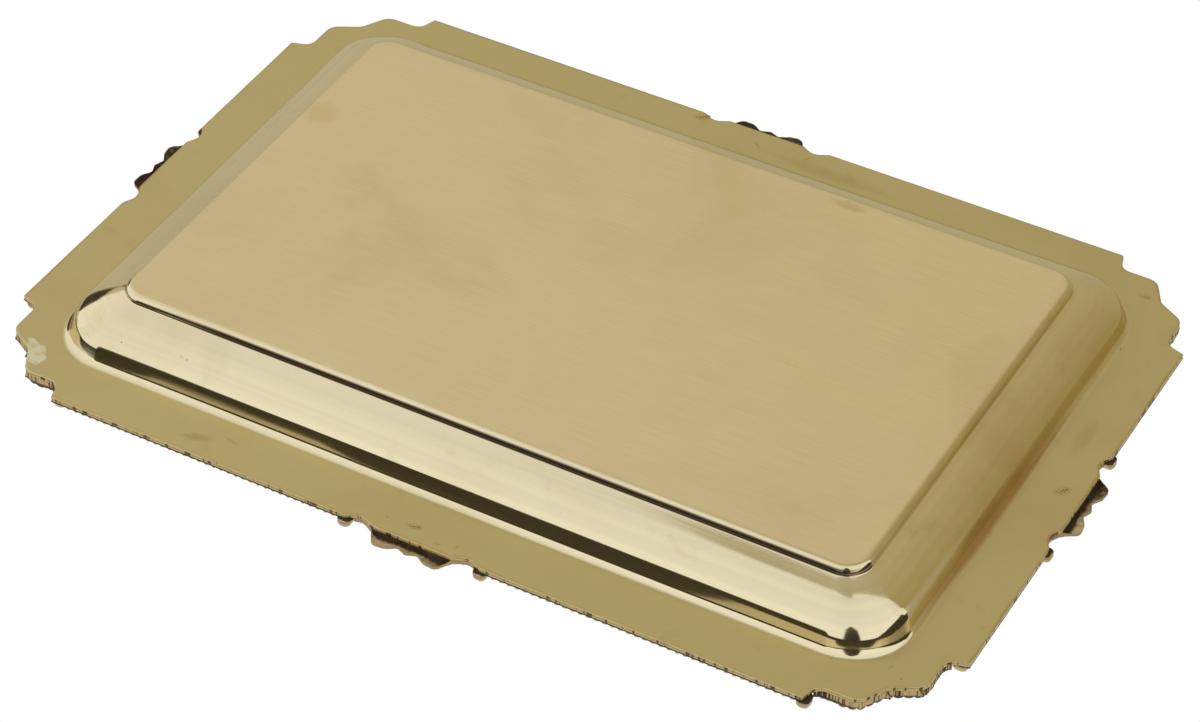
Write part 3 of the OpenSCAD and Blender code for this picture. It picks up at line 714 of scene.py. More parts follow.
def sheet_brass(finish):
    """Brass sheet: satin flange, polished wall and shoulder, a finely brushed base panel, and painted shade in the
    step's crease.
    """
    material, tree, shader = new_material("sheet_brass")
    place = object_place(tree)
    flow = flow_place(tree)
    polish = attribute(tree, "polish")
    panel = attribute(tree, "panel")
    filed = attribute(tree, "filed")
    brushed = use(tree, "grain", {"Place": place, "Scale": (70, 3800, 70), "Detail": 3.0})["Lines"]
    soft = use(tree, "grain", {"Place": place, "Scale": (8, 60, 8), "Detail": 3.0})["Lines"]
    across = add(tree, "ShaderNodeSeparateXYZ", {0: flow}).outputs[1]
    plan = add(tree, "ShaderNodeSeparateXYZ", {0: place}).outputs
    along = add(tree, "ShaderNodeCombineXYZ", {0: plan[0], 1: plan[1], 2: across}).outputs[0]
    drawn = use(tree, "grain", {"Place": along, "Scale": (25, 25, 1500), "Detail": 3.0})["Lines"]
    waves = use(tree, "grain", {"Place": along, "Scale": (18, 18, 160), "Detail": 1.0})["Lines"]
    streaks = use(tree, "grain", {"Place": along, "Scale": (5, 5, 700), "Detail": 2.0})["Lines"]
    strokes = use(tree, "grain", {"Place": place, "Scale": (900, 900, 30), "Detail": 2.0})["Lines"]

    colour_now = blend(tree, polish, finish.flange, finish.polished)
    colour_now = blend(tree, panel, colour_now, finish.panel)
    clouds = use(tree, "tarnish", {"Place": place, "Scale": 16.0, "Clean": colour_now,
                                   "Stained": (*finish.stain, 1), "Start": 0.45, "Full": 0.8, "Amount": 0.2})
    blotch = use(tree, "tarnish", {"Place": place, "Scale": 90.0, "Clean": clouds["Color"],
                                   "Stained": (0.42, 0.35, 0.14, 1), "Start": 0.55, "Full": 0.85,
                                   "Amount": between(tree, panel, 0.0, 1.0, 0.3, 0.04)})
    stained = blotch["Color"]
    for middle, half, turn, shade, strength in STAINS:
        share = (1000 / half[0], 1000 / half[1], 0)
        mask = use(tree, "stain", {"Place": place, "Middle": (middle[0] * MM, middle[1] * MM, 0), "Share": share,
                                   "Turn": math.radians(turn), "Gaps": 0.0 if half[0] < SMALL_MARK else 1.0})["Mask"]
        stained = blend(tree, calc(tree, "MULTIPLY", mask, strength), stained, shade)
    lines = blend(tree, panel, blend(tree, polish, (1, 1, 1), between(tree, streaks, 0.35, 0.65, 0.965, 1.015)),
                  between(tree, brushed, 0.3, 0.7, 0.97, 1.03))
    lined = blend(tree, 1.0, stained, lines, "MULTIPLY")
    specks = use(tree, "specks", {"Place": place, "Cells": 300.0, "Size": 0.10, "Share": 0.05})["Mask"]
    specks = calc(tree, "MULTIPLY", specks, calc(tree, "SUBTRACT", 0.7, panel, clamp=True))
    lined = blend(tree, specks, lined, (0.16, 0.09, 0.03))
    solder = use(tree, "stain", {"Place": place, "Middle": (-0.1063, 0.0722, 0), "Share": (170, 300, 0),
                                 "Turn": math.radians(-40)})["Mask"]
    patchy = use(tree, "grain", {"Place": place, "Scale": (500, 500, 500), "Detail": 4.0})["Lines"]
    solder = calc(tree, "MULTIPLY", between(tree, solder, 0.1, 0.4), between(tree, patchy, 0.3, 0.6, 0.45, 0.9))
    lined = blend(tree, solder, lined, (0.66, 0.62, 0.42))
    border = calc(tree, "MULTIPLY", between(tree, across, 0.0, 0.9 * MM, 0.45, 0.0), between(tree, soft, 0.4, 0.6))
    lined = blend(tree, calc(tree, "SUBTRACT", border, solder, clamp=True), lined, (0.50, 0.30, 0.10))
    edge = blend(tree, between(tree, strokes, 0.54, 0.62), (0.60, 0.47, 0.20), (0.13, 0.07, 0.03))
    final = blend(tree, filed, lined, edge)
    # Painted shade: the step's crease by the panel is darkened a little all round and most along the back side, and
    # made less metallic, for the shade and dark reflection in the crease
    near = calc(tree, "MULTIPLY", between(tree, plan[1], 0.042, 0.050), between(tree, plan[0], -0.088, -0.060))
    painted_crease_shade = between(tree, calc(tree, "MULTIPLY", near, between(tree, plan[0], 0.088, 0.094, 1.0, 0.2)), 0.0, 1.0, 0.1, 0.9)
    painted_crease_shade = calc(tree, "MULTIPLY", attribute(tree, "step_crease_shade"), painted_crease_shade)
    final = blend(tree, painted_crease_shade, final, (0.065, 0.034, 0.018))
    tree.links.new(final, shader.inputs["Base Color"])

    satin = between(tree, soft, 0.3, 0.7, 0.27, 0.33)
    rough_flange = between(tree, blotch["Mask"], 0.0, 0.2, 0.33, 0.38)
    rough = add(tree, "ShaderNodeMix", {0: panel, 2: rough_flange, 3: satin}).outputs[0]
    shine = between(tree, drawn, 0.3, 0.7, 0.07, 0.12)
    rough = add(tree, "ShaderNodeMix", {0: polish, 2: rough, 3: shine}).outputs[0]
    tree.links.new(rough, shader.inputs["Roughness"])

    brush_marks = use(tree, "grain", {"Place": place, "Scale": (25, 900, 25), "Detail": 1.0})["Lines"]
    fine = bump(tree, brush_marks, calc(tree, "MULTIPLY", panel, 0.04), 0.012 * MM)
    fine = bump(tree, drawn, calc(tree, "MULTIPLY", polish, 0.05), 0.02 * MM, fine)
    normal = bump(tree, waves, calc(tree, "MULTIPLY", polish, 0.2), 0.25 * MM, fine)
    tree.links.new(normal, shader.inputs["Normal"])
    # Metal is lessened on the filed edge, on the solder and under the painted crease shade
    dull = calc(tree, "MAXIMUM", calc(tree, "MAXIMUM", filed, calc(tree, "MULTIPLY", solder, 0.8)),
                calc(tree, "MULTIPLY", painted_crease_shade, 0.45))
    tree.links.new(between(tree, dull, 0.0, 1.0, 1.0, 0.35), shader.inputs["Metallic"])
    return material


def cast_brass(finish):
    """Cast brass: dark patina in the hollows, worn bright on the edges and high places, and a painted sheen under the
    side leaves.
    """
    material, tree, shader = new_material("cast_brass")
    place = object_place(tree)
    relief = attribute(tree, "relief")
    filed = attribute(tree, "filed")
    worn = use(tree, "wear_and_sheen", {"Place": place, "Relief": relief})["Mask"]
    strokes = use(tree, "grain", {"Place": place, "Scale": (2100, 2100, 60), "Detail": 3.0})["Lines"]
    groups = use(tree, "grain", {"Place": place, "Scale": (170, 170, 20), "Detail": 1.0})["Lines"]
    metal = use(tree, "tarnish", {"Place": place, "Scale": 220.0, "Clean": (*finish.worn, 1),
                                  "Stained": (0.36, 0.21, 0.09, 1), "Start": 0.4, "Full": 0.7, "Amount": 0.7})
    dirt = use(tree, "tarnish", {"Place": place, "Scale": 500.0, "Clean": (*finish.patina, 1),
                                 "Stained": (0.10, 0.055, 0.022, 1), "Start": 0.5, "Full": 0.75, "Amount": 0.8})
    base = blend(tree, worn, dirt["Color"], metal["Color"])
    striped = calc(tree, "ADD", strokes, calc(tree, "MULTIPLY", calc(tree, "SUBTRACT", groups, 0.5), 0.7))
    striped = blend(tree, between(tree, striped, 0.44, 0.60), (0.66, 0.47, 0.20), (0.065, 0.034, 0.014))
    base = blend(tree, filed, base, striped)
    # Painted sheen: where the pale tones are high, the side leaves are painted pale tan and made less metallic, for the
    # light they reflect
    pale = use(tree, "wear_and_sheen", {"Place": place, "Relief": attribute(tree, "pale"), "Start": 0.25, "Full": 0.85})["Mask"]
    base = blend(tree, pale, base, blend(tree, groups, (0.34, 0.23, 0.09), (0.66, 0.52, 0.28)))
    tree.links.new(base, shader.inputs["Base Color"])
    dull = calc(tree, "MULTIPLY", calc(tree, "MAXIMUM", pale, filed), 0.7)
    metal_share = calc(tree, "SUBTRACT", between(tree, worn, 0.0, 1.0, 0.35, 1.0), dull, clamp=True)
    tree.links.new(metal_share, shader.inputs["Metallic"])
    shader.inputs["Specular IOR Level"].default_value = 0.2
    tree.links.new(between(tree, worn, 0.0, 1.0, 0.55, 0.3), shader.inputs["Roughness"])
    pits = use(tree, "grain", {"Place": place, "Scale": (1400, 1400, 1400), "Detail": 4.0})["Lines"]
    tree.links.new(bump(tree, pits, 0.35, 0.1 * MM), shader.inputs["Normal"])
    return material


def rib_brass(finish):
    """Ribbed border: worn satin crests and dark grooves."""
    material, tree, shader = new_material("rib_brass")
    place = object_place(tree)
    height = add(tree, "ShaderNodeSeparateXYZ", {0: place}).outputs[2]
    low = SHEET_BOX[1].z
    relief = between(tree, height, low + 0.05 * MM, low + 0.9 * MM)
    worn = use(tree, "wear_and_sheen", {"Place": place, "Relief": relief, "Start": 0.15, "Full": 0.6})["Mask"]
    metal = use(tree, "tarnish", {"Place": place, "Scale": 150.0, "Clean": (0.56, 0.43, 0.23, 1),
                                  "Stained": (0.38, 0.24, 0.10, 1), "Start": 0.45, "Full": 0.75, "Amount": 0.5})
    pale = use(tree, "wear_and_sheen", {"Place": place, "Relief": attribute(tree, "pale"), "Start": 0.3, "Full": 0.6})["Mask"]
    base = blend(tree, worn, (*finish.patina, 1), metal["Color"])
    base = blend(tree, pale, base, (0.50, 0.38, 0.19))
    tree.links.new(base, shader.inputs["Base Color"])
    shine = between(tree, worn, 0.0, 1.0, 0.4, 1.0)
    tree.links.new(calc(tree, "SUBTRACT", shine, calc(tree, "MULTIPLY", pale, 0.6), clamp=True),
                   shader.inputs["Metallic"])
    tree.links.new(between(tree, worn, 0.0, 1.0, 0.5, 0.24), shader.inputs["Roughness"])
    scratches = use(tree, "grain", {"Place": place, "Scale": (900, 900, 900), "Detail": 3.0})["Lines"]
    tree.links.new(bump(tree, scratches, 0.15, 0.05 * MM), shader.inputs["Normal"])
    return material


# Operators

class TRAY_OT_finishes(bpy.types.Operator):
    """Make the brass finishes and the effects that they share"""

    bl_idname = "tray.finishes"
    bl_label = "Finishes"

    def execute(self, context):
        finish = context.scene.brass_finish
        for make in (make_grain, make_tarnish, make_specks, make_stain, make_wear):
            make()
        for make in (sheet_brass, cast_brass, rib_brass):
            make(finish)
        return {"FINISHED"}


class TRAY_OT_sheet(bpy.types.Operator):
    """Make the pressed sheet: flange, wall, shoulder, step and base panel"""

    bl_idname = "tray.sheet"
    bl_label = "Tray sheet"

    def execute(self, context):
        t = settings(context)[0]
        outline = whole_outline(t)
        ring = WellRing(t, outline)
        count = len(outline)
        top = t.rim_h + t.sheet_t
        inner_edge = offset_closed(outline, t.edge_r)
        first = ring.at(0, t.rim_h)
        rows, across, attributes = [], [], {"polish": [], "panel": [], "filed": [], "step_crease_shade": []}

        def put(points, distance, inset, filed):
            rows.append(points)
            across.append(distance)
            height = points[:, 2].mean()
            # Painted shade: a band over the step's face by the panel, which the finish darkens as the shade in its
            # crease
            dark = ramp(height, 0.45 * MM, 0.7 * MM) * (1 - ramp(height, t.step_h - 0.1 * MM, t.step_h + 0.1 * MM))
            under = inset > ring.inset - t.step_w - 0.5 * MM
            attributes["step_crease_shade"].append(float(dark * under))
            attributes["panel"].append(float(ramp(inset, ring.inset + 0.3 * MM, ring.inset + 1.5 * MM)))
            shine = float(ramp(inset, 0.2 * MM, 1.2 * MM)) - attributes["panel"][-1]
            attributes["polish"].append(max(shine, 0))
            attributes["filed"].append(filed)

        def flat(plan, z):
            return np.column_stack([plan, np.full(count, z)])

        def half_sheet(up):
            """Rows from the panel's middle out to the edge on the upper side, as a list of arguments of put."""
            z = t.rim_h + up
            edge = flat(inner_edge, z)
            inside = ring.at(0, z)
            listed = [(edge, 0.0, -t.flange_w, 0.0)]
            for share in (0.03, 0.08, 0.25, 0.5, 0.8):
                listed.append((edge + (inside - edge) * share, share * t.flange_w, -t.flange_w * (1 - share), 0.0))
            line, parts = section(t, up)
            leaning, _ = section(t, up, t.more_lean, parts)
            run = spans(line)
            for (inwards, height), (inwards_2, height_2), along in zip(line, leaning, run):
                mixed = ring.at(inwards + (inwards_2 - inwards) * ring.lean_share,
                                height + (height_2 - height) * ring.lean_share)
                listed.append((mixed, t.flange_w + along, inwards, 0.0))
            for more in (2, 4):
                inwards = line[-1][0] + more * MM * 0.5
                listed.append((ring.at(inwards, line[-1][1]), t.flange_w + run[-1] + more * MM * 0.5, inwards, 0.0))
            return listed

        for item in reversed(half_sheet(0)):
            put(*item)
        for z in (t.rim_h + t.edge_r, top - t.edge_r):
            put(flat(outline, z), -t.edge_r, -t.flange_w, 1.0)
        for item in half_sheet(t.sheet_t):
            put(*item)

        points = np.concatenate(rows)
        around = np.concatenate([spans(np.vstack([outline, outline[:1]]))[:-1]] * len(rows))
        uv = np.column_stack([around, np.repeat(across, count)])
        faces = grid_faces(len(rows), count, closed=True)
        middles = [(0, 0, points[0][2]), (0, 0, points[-1][2])]
        points = np.vstack([points, middles])
        uv = np.vstack([uv, uv[[0, -1]]])
        last = (len(rows) - 1) * count
        for i in range(count):
            following = (i + 1) % count
            faces.append((len(points) - 2, following, i))
            faces.append((len(points) - 1, last + i, last + following))
        values = {key: np.append(np.repeat(value, count), value[:1] + value[-1:])
                  for key, value in attributes.items()}
        piece = new_object("pressed_sheet", points, facing_out(points, faces), [bpy.data.materials["sheet_brass"]], uv, values)
        dress(piece, ["tray_sheet"])
        return {"FINISHED"}


class TRAY_OT_corners(bpy.types.Operator):
    """Make the four cast shells on the corners"""

    bl_idname = "tray.corners"
    bl_label = "Corner castings"

    def execute(self, context):
        t, o, b, _ = settings(context)
        depth = 2 * b.knob_r - b.end_knob_out + b.seam
        outer = corner_bends(t)
        start = t.corner_reach - t.notch_run * depth / t.lobe_depth
        outer[0], outer[-1] = (start, depth, 0), (depth, start, 0)
        near = t.corner_reach - 2 * t.notch_run
        inner = [
            (t.corner_reach - b.seam, o.corner_end_w, 0),
            (near, o.corner_end_w + b.seam, 4 * MM),
            (o.corner_inner, o.corner_inner, 4 * MM),
            (o.corner_end_w + b.seam, near, 4 * MM),
            (o.corner_end_w, t.corner_reach - b.seam, 0),
        ]
        stations = 160
        inner, outer = (resample(rounded_line(line), stations) for line in (inner, outer))
        u = np.linspace(-1, 1, stations + 1)[:, None]
        w = np.linspace(0, 1, 25)
        relief = shell_relief(u, w[None, :], o.corner_flutes, 0.56)
        rim = o.cast_t + 0.35 * MM * relief[:, -4]
        height = o.cast_t * 0.75 + (o.shell_rise + o.cast_t * 0.25) * relief
        height[:, -1] = rim
        ahead = np.gradient(outer, axis=0)
        out = np.stack([-ahead[:, 1], ahead[:, 0]], axis=1) / np.linalg.norm(ahead, axis=1)[:, None]
        out *= -np.sign(np.sum(out * (outer - inner), axis=1)).mean()
        side = np.abs(u[:, 0])
        bulge = 0.9 * np.exp(-(side / 0.035) ** 2) + 0.45 * np.exp(-((side - 0.40) / 0.03) ** 2)
        rows = []
        for share, swell in ((1.0, 1.0), (0.72, 0.75), (0.5, 0.15), (0.25, 0.0), (0.0, 0.0)):
            plan = outer - out * (bulge * swell * MM)[:, None]
            rows.append(np.column_stack([plan, (rim - o.chamfer) * share]))
        wall = np.stack(rows, axis=1)
        sections = cast_sections(inner, outer + out * o.chamfer, height, w, wall)
        points, faces = loft(sections)
        around = len(sections[0])
        run = spans(outer)
        uv = np.zeros((len(points), 2))
        uv[:-2, 0] = np.repeat(run, around)
        uv[:-2, 1] = sections[:, :, 2].ravel()
        worn = np.zeros((stations + 1, around))
        worn[:, 1:26] = relief
        worn[:, 25] = 0.3
        filed = np.zeros_like(worn)
        filed[:, 27:] = 1
        values = {"relief": np.append(worn.ravel(), [0, 0]), "filed": np.append(filed.ravel(), [0, 0])}
        half = np.array([t.rim_l, t.rim_w]) / 2
        for name, sign in CORNERS.items():
            placed = np.column_stack([(half - points[:, :2]) * sign, points[:, 2] + t.rim_h + t.sheet_t])
            piece = new_object("shell_" + name, placed, facing_out(placed, faces),
                               [bpy.data.materials["cast_brass"]], uv, values)
            dress(piece, ["corner_casting_" + name])
        return {"FINISHED"}


class TRAY_OT_sides(bpy.types.Operator):
    """Make the four hollow cast leaves in the middle of the sides"""

    bl_idname = "tray.sides"
    bl_label = "Side ornaments"

    def lines(self, t, o, b):
        """The ornament's inner and outer line: distance along the side, and distance out past the edge."""
        end = t.side_run + t.side_notch
        start = end - b.knob_r - b.seam
        depth = t.side_notch_d * (end - start) * 2 / t.side_notch
        leaf = [(0.24, 0.48, 0.8), (0.48, 0.95, 2), (0.8, 1.06, 1.8)]
        half = [(t.side_run * x, o.side_overhang * y, r * MM) for x, y, r in leaf]
        half += [
            (t.side_run, 0, 0),
            (t.side_run + t.side_notch / 2, -t.side_notch_d, t.side_notch_r),
            (start, -depth, 0),
        ]
        outer = [(-x, y, r) for x, y, r in half[::-1]] + [(0, o.side_overhang * 0.8, 0.8 * MM)] + half
        half = [(t.side_run * 0.7, -o.side_depth, 4 * MM), (start, -depth - o.side_end_w, 0)]
        inner = [(-x, y, r) for x, y, r in half[::-1]] + half
        return inner, outer

    def execute(self, context):
        t, o, b, _ = settings(context)
        stations = 180
        inner, outer = (resample(rounded_line(line), stations) for line in self.lines(t, o, b))
        u = np.linspace(-1, 1, stations + 1)
        w = np.linspace(0, 1, 25)
        relief = shell_relief(u[:, None], w[None, :], o.side_flutes, 0.42)
        thick = o.cast_t + (o.leaf_t - o.cast_t) * w[None, :] ** 3
        height = thick * 0.75 + (o.shell_rise + thick * 0.25) * relief * (1 - 0.7 * w[None, :] ** 4)
        rim = o.leaf_t + 0.2 * MM * relief[:, -4]
        height[:, -1] = rim
        over = ramp(outer[:, 1], 0.2 * MM, 1.6 * MM)
        wave = 0.05 * MM * np.sin(26 * u + 0.8) + 0.03 * MM * np.sin(57 * u)
        lip = (o.leaf_rim + wave) * over
        edge = np.clip(-inner[:, 1] / (outer[:, 1] - inner[:, 1]), 0.3, 0.97)
        rows = []
        for share in (1.0, 0.5, 0.0):
            rows.append(np.column_stack([outer, lip + (rim - o.chamfer - lip) * share]))
        for share in (0.93, 0.8, 0.65, 0.5, 0.35, 0.22, 0.1, 0.0, 0.0):
            at = (edge + (1 - edge) * share)[:, None]
            rising = math.sin(min(share / 0.35, 1) * math.pi / 2)
            falling = max((share - 0.35) / 0.65, 0) ** 2
            ceiling = (o.hollow * rising * (1 - falling) + (lip + 0.1 * MM) * falling) * over
            if len(rows) == 11:
                ceiling = np.zeros(stations + 1)
                at = at - 0.002
            rows.append(np.column_stack([inner * (1 - at) + outer * at, ceiling]))
        wall = np.stack(rows, axis=1)
        sections = cast_sections(inner, outer, height, w, wall)
        points, faces = loft(sections)
        around = len(sections[0])
        uv = np.zeros((len(points), 2))
        uv[:-2, 0] = np.repeat(spans(outer), around)
        uv[:-2, 1] = sections[:, :, 2].ravel()
        worn = np.zeros((stations + 1, around))
        worn[:, 1:26] = relief
        worn[:, 25:29] = (0.75, 0.5, 0.5, 0.95)
        # Painted sheen: the leaf's outer wall and underside are painted pale towards its rim, for the light they
        # reflect, varied along the leaf and by side
        lit = 0.72 + 0.28 * np.sin(2.2 * u + 0.4)
        pale = np.zeros_like(worn)
        pale[:, 26:29] = 0.8
        pale[:, 29:37] = np.array((1.0, 1.0, 0.95, 0.85, 0.65, 0.35, 0.1, 0)) * lit[:, None]
        filed = np.zeros_like(worn)
        filed[:, 26:28] = 0.35
        for name, (dx, dy) in ENDS.items():
            tones = {"relief": worn, "filed": filed, "pale": pale * LEAF_SHEEN[name]}
            values = {key: np.append(tone.ravel(), [0, 0]) for key, tone in tones.items()}
            half = t.rim_l / 2 if dx else t.rim_w / 2
            out = half + points[:, 1]
            across = points[:, 0]
            placed = np.column_stack([out * dx - across * dy, out * dy + across * dx, points[:, 2] + t.rim_h + t.sheet_t])
            piece = new_object("leaf_" + name, placed, facing_out(placed, faces),
                               [bpy.data.materials["cast_brass"]], uv, values)
            dress(piece, ["side_ornament_" + name])
        return {"FINISHED"}


class TRAY_OT_borders(bpy.types.Operator):
    """Make the eight ribbed borders with their knobs"""

    bl_idname = "tray.borders"
    bl_label = "Ribbed borders"

    def tree(self, b):
        """Ribs in a row along a path, turned by the slant."""
        tree = bpy.data.node_groups.new("rib_row", "GeometryNodeTree")
        tree.is_modifier = True
        tree.interface.new_socket("Geometry", in_out="INPUT", socket_type="NodeSocketGeometry")
        for key, kind in (("Pitch", "NodeSocketFloat"), ("Size", "NodeSocketVector"), ("Slant", "NodeSocketFloat"),
                          ("Material", "NodeSocketMaterial")):
            tree.interface.new_socket(key, in_out="INPUT", socket_type=kind)
        tree.interface.new_socket("Geometry", in_out="OUTPUT", socket_type="NodeSocketGeometry")
        source = add(tree, "NodeGroupInput").outputs
        path = add(tree, "GeometryNodeMeshToCurve", {"Mesh": source["Geometry"]}).outputs[0]
        dots = add(tree, "GeometryNodeCurveToPoints", {"Curve": path, "Length": source["Pitch"]}, mode="LENGTH").outputs
        ahead = add(tree, "FunctionNodeAlignRotationToVector", {"Vector": dots["Tangent"]}, axis="X").outputs[0]
        slant = add(tree, "ShaderNodeCombineXYZ", {"Z": source["Slant"]}).outputs[0]
        turn = add(tree, "FunctionNodeEulerToRotation", {0: slant}).outputs[0]
        turned = add(tree, "FunctionNodeRotateRotation", {"Rotation": ahead, "Rotate By": turn},
                     rotation_space="LOCAL").outputs[0]
        rib = add(tree, "GeometryNodeMeshUVSphere", {"Segments": 12, "Rings": 7, "Radius": 1.0}).outputs[0]
        ribs = add(tree, "GeometryNodeInstanceOnPoints", {"Points": dots["Points"], "Instance": rib,
                                                          "Rotation": turned, "Scale": source["Size"]}).outputs[0]
        real = add(tree, "GeometryNodeRealizeInstances", {0: ribs}).outputs[0]
        done = add(tree, "GeometryNodeSetMaterial", {"Geometry": real, "Material": source["Material"]}).outputs[0]
        sink = add(tree, "NodeGroupOutput")
        tree.links.new(done, sink.inputs["Geometry"])
        return tree

    def ribs(self, context, tree, b, first, last, material):
        """The points and faces of one row of ribs."""
        path = new_object("rib_path", [first, last], [], [material])
        path.data.clear_geometry()
        path.data.from_pydata([first, last], [(0, 1)], [])
        row = path.modifiers.new("ribs", "NODES")
        row.node_group = tree
        values = {"Pitch": b.rib_pitch, "Size": (b.rib_wide, b.rib_long, b.rib_high), "Slant": b.slant,
                  "Material": material}
        for item in tree.interface.items_tree:
            if item.in_out == "INPUT" and item.name in values:
                row[item.identifier] = values[item.name]
        context.view_layer.update()
        made = bpy.data.meshes.new_from_object(path.evaluated_get(context.evaluated_depsgraph_get()))
        path.modifiers.remove(row)
        points = np.zeros(len(made.vertices) * 3)
        made.vertices.foreach_get("co", points)
        faces = [tuple(polygon.vertices) for polygon in made.polygons]
        bpy.data.objects.remove(path)
        bpy.data.meshes.remove(made)
        return points.reshape(-1, 3), faces

    def knob(self, b, x, out):
        """A ball that is cut at the flange and rounded under where it sticks out past the sheet."""
        turns = np.linspace(0, 2 * math.pi, 29)[:-1]
        sections = []
        for tilt in np.linspace(0.02, math.pi - 0.02, 19):
            ring = np.column_stack([np.sin(tilt) * np.cos(turns), np.sin(tilt) * np.sin(turns),
                                    np.full(len(turns), np.cos(tilt))])
            ring = np.sign(ring) * np.abs(ring) ** b.knob_square * (b.knob_share * b.knob_r, b.knob_r, b.knob_r)
            ring += (x, out - b.knob_r, b.knob_lift)
            floor = 0.25 * ring[:, 1].clip(0) + 0.001 * MM * tilt
            ring[:, 2] = np.maximum(ring[:, 2], floor)
            sections.append(ring)
        return loft(np.array(sections))

    def bed(self, b, first, last):
        """The low bed under the ribs, highest at its middle."""
        line = [(0, 0, 0), (0, b.strip_h * 0.14, 0), (b.strip_w * 0.45, b.strip_h * 0.72, 1.2 * MM),
                (b.strip_w, b.strip_h * 0.3, 0), (b.strip_w, 0, 0)]
        line = rounded_line(line, 6)
        ends = [np.column_stack([np.full(len(line), x), -line[:, 0], line[:, 1]]) for x in np.linspace(first, last, 9)]
        return loft(np.array(ends))

    def execute(self, context):
        t, _, b, _ = settings(context)
        material = bpy.data.materials["rib_brass"]
        tree = self.tree(b)
        first = t.side_run + t.side_notch
        for side, (dx, dy) in ENDS.items():
            half = t.rim_l / 2 if dx else t.rim_w / 2
            last = (t.rim_w if dx else t.rim_l) / 2 - t.corner_reach
            level = 0.5 * MM
            row = self.ribs(context, tree, b, (first + b.knob_r, -b.rib_place, level),
                            (last - b.knob_r, -b.rib_place, level), material)
            for end, sign in (("front", -1), ("back", 1)) if dx else (("left", -1), ("right", 1)):
                bare = (side, end) == BARE_KNOB
                end_knob = (last, b.end_knob_out) if bare else (last - b.knob_back, -b.knob_back / 2)
                parts = [self.bed(b, first, last), row, self.knob(b, first, b.knob_out), self.knob(b, *end_knob)]
                pale = np.concatenate([np.full(len(part[0]), i > 1) for i, part in enumerate(parts)])
                body = joined(parts)
                pale = pale * ramp(body[0][:, 1], -0.4 * MM, 0) * ramp(body[0][:, 2], 0.05 * MM, 0.3 * MM)
                along = body[0][:, 0] * sign
                out = half + body[0][:, 1]
                height = body[0][:, 2] + t.rim_h + t.sheet_t
                plan = (out * dx, along) if dx else (along, out * dy)
                placed = np.column_stack([*plan, height])
                name = f"border_{side}_{end}"
                piece = new_object("ribbed_" + name, placed, facing_out(placed, body[1]), [material],
                                   attributes={"pale": pale})
                dress(piece, [name])
        return {"FINISHED"}


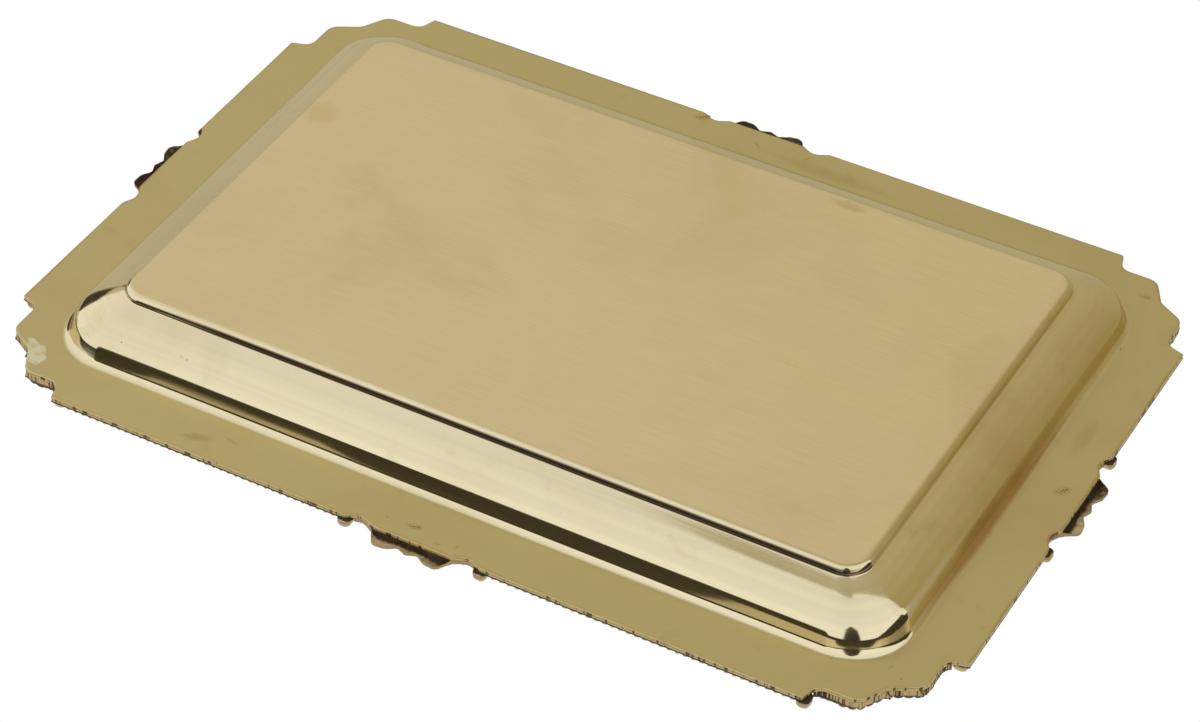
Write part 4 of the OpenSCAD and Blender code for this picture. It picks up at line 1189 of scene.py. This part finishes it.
class TRAY_OT_stage(bpy.types.Operator):
    """Set the camera, the floor, the lamps and the white world"""

    bl_idname = "tray.stage"
    bl_label = "Studio"

    def execute(self, context):
        setup = context.scene.studio_setup
        self.camera(context, setup)
        self.world(context)
        self.floor(setup)
        self.screens()
        self.lamps(context)
        view = context.scene.view_settings
        view.view_transform = "Standard"
        return {"FINISHED"}

    def camera(self, context, setup):
        back = Vector((math.sin(setup.azimuth) * math.cos(setup.elevation),
                       -math.cos(setup.azimuth) * math.cos(setup.elevation),
                       math.sin(setup.elevation)))
        right = Vector((math.cos(setup.azimuth), math.sin(setup.azimuth), 0))
        turn = Matrix.Rotation(setup.roll, 3, back)
        right = turn @ right
        up = back.cross(right)
        data = bpy.data.cameras.new("camera")
        data.lens = setup.lens
        data.sensor_width = 36
        data.sensor_fit = "HORIZONTAL"
        data.clip_start = 0.01
        data.clip_end = 20
        camera = bpy.data.objects.new("camera", data)
        place = Matrix((right, up, back)).transposed().to_4x4()
        place.translation = Vector(setup.aim) + back * setup.distance
        camera.matrix_world = place
        context.scene.collection.objects.link(camera)
        context.scene.camera = camera

    def world(self, context):
        world = bpy.data.worlds.new("white_room")
        world.use_nodes = True
        tree = world.node_tree
        path = add(tree, "ShaderNodeLightPath").outputs
        seen = calc(tree, "MAXIMUM", path["Is Camera Ray"], path["Is Glossy Ray"])
        seen = calc(tree, "MAXIMUM", seen, path["Is Transmission Ray"])
        shade = blend(tree, seen, (0.62, 0.62, 0.62), (1, 1, 1))
        tree.links.new(shade, tree.nodes["Background"].inputs["Color"])
        context.scene.world = world

    def floor(self, setup):
        size = 1.5
        points = [(-size, -size, -0.3 * MM), (size, -size, -0.3 * MM), (size, size, -0.3 * MM), (-size, size, -0.3 * MM)]
        material, tree, shader = new_material("pale_floor")
        shader.inputs["Base Color"].default_value = (*setup.floor, 1)
        shader.inputs["Roughness"].default_value = 0.9
        shader.inputs["Specular IOR Level"].default_value = 0.0
        away = add(tree, "ShaderNodeVectorMath", {0: object_place(tree)}, operation="LENGTH").outputs[1]
        fade = between(tree, away, 0.45, 1.1)
        under = add(tree, "ShaderNodeNewGeometry").outputs["Backfacing"]
        clear = calc(tree, "MAXIMUM", fade, under)
        mix = add(tree, "ShaderNodeMixShader", {0: clear, 1: shader.outputs[0],
                                                2: add(tree, "ShaderNodeBsdfTransparent").outputs[0]})
        tree.links.new(mix.outputs[0], tree.nodes["Material Output"].inputs["Surface"])
        floor = new_object("floor", points, [(0, 1, 2, 3)], [material], smooth=False)
        floor.visible_diffuse = False
        floor.visible_glossy = False
        floor.visible_shadow = False

    def screens(self):
        """Curved screens that only the metal sees: each a part of a sphere, graded from corner to corner."""
        for name, radius, edge, soft, power, shades in SCREENS:
            cols, rows = 121, 31
            across, up = np.meshgrid(np.linspace(0, 1, cols), np.linspace(0, 1, rows))
            keys = np.radians(edge)
            first_turn, first, last_turn, last = (
                np.interp(across[0], np.linspace(0, 1, len(keys)), key) for key in keys.T)
            rise = first + (last - first) * up
            turn = first_turn + (last_turn - first_turn) * up
            points = np.stack([np.cos(turn) * np.cos(rise), np.sin(turn) * np.cos(rise), np.sin(rise)], axis=2)
            points = points.reshape(-1, 3) * radius
            across, up = across.ravel(), up.ravel()
            material = self.screen_material(name, soft, power, shades)
            screen = new_object(name, points, grid_faces(rows, cols), [material], np.column_stack([across, up]))
            screen.visible_camera = False
            screen.visible_diffuse = False
            screen.visible_transmission = False
            screen.visible_shadow = False

    def screen_material(self, name, soft, power, shades):
        """Light of a screen between its four corner colours, fading out at its edges."""
        material = bpy.data.materials.new(name)
        material.use_nodes = True
        tree = material.node_tree
        tree.nodes.remove(tree.nodes["Principled BSDF"])
        place = add(tree, "ShaderNodeSeparateXYZ", {0: flow_place(tree)}).outputs
        up = calc(tree, "POWER", place[1], power)
        low = blend(tree, place[0], shades[0], shades[1])
        high = blend(tree, place[0], shades[2], shades[3])
        light = add(tree, "ShaderNodeEmission", {"Color": blend(tree, up, low, high)}).outputs[0]
        shown = 1.0
        for socket, (start, end) in zip(place[:2], soft):
            shown = calc(tree, "MULTIPLY", shown, between(tree, socket, 0.0, start))
            shown = calc(tree, "MULTIPLY", shown, between(tree, socket, 1.0 - end, 1.0, 1.0, 0.0))
        clear = add(tree, "ShaderNodeBsdfTransparent").outputs[0]
        mix = add(tree, "ShaderNodeMixShader", {0: shown, 1: clear, 2: light})
        tree.links.new(mix.outputs[0], tree.nodes["Material Output"].inputs["Surface"])
        return material

    def lamps(self, context):
        for name, place, size, power in (
            ("lamp_above", (0.35, -0.5, 1.0), 0.8, 9),
            ("lamp_below", (-0.2, 0.15, -1.2), 0.8, 6),
        ):
            data = bpy.data.lights.new(name, "AREA")
            data.size = size
            data.energy = power
            lamp = bpy.data.objects.new(name, data)
            lamp.location = place
            lamp.rotation_euler = (-Vector(place)).to_track_quat("-Z", "Y").to_euler()
            lamp.visible_glossy = False
            context.scene.collection.objects.link(lamp)


class TRAY_PT_panel(bpy.types.Panel):
    bl_label = "Brass tray"
    bl_idname = "TRAY_PT_panel"
    bl_space_type = "VIEW_3D"
    bl_region_type = "UI"
    bl_category = "Tray"

    def draw(self, context):
        for operator in STEPS:
            self.layout.operator(operator.bl_idname)


GROUPS = (
    ("tray_shape", TrayShape),
    ("ornament_shape", OrnamentShape),
    ("border_shape", BorderShape),
    ("brass_finish", BrassFinish),
    ("studio_setup", StudioSetup),
)
STEPS = (TRAY_OT_stage, TRAY_OT_finishes, TRAY_OT_sheet, TRAY_OT_corners, TRAY_OT_sides, TRAY_OT_borders)


def register():
    for name, group in GROUPS:
        bpy.utils.register_class(group)
        setattr(bpy.types.Scene, name, PointerProperty(type=group))
    for step in STEPS:
        bpy.utils.register_class(step)
    bpy.utils.register_class(TRAY_PT_panel)


def unregister():
    bpy.utils.unregister_class(TRAY_PT_panel)
    for step in reversed(STEPS):
        bpy.utils.unregister_class(step)
    for name, group in reversed(GROUPS):
        delattr(bpy.types.Scene, name)
        bpy.utils.unregister_class(group)


def main():
    register()
    bpy.ops.tray.stage()
    bpy.ops.tray.finishes()
    bpy.ops.tray.sheet()
    bpy.ops.tray.corners()
    bpy.ops.tray.sides()
    bpy.ops.tray.borders()


if __name__ == "__main__":
    main()
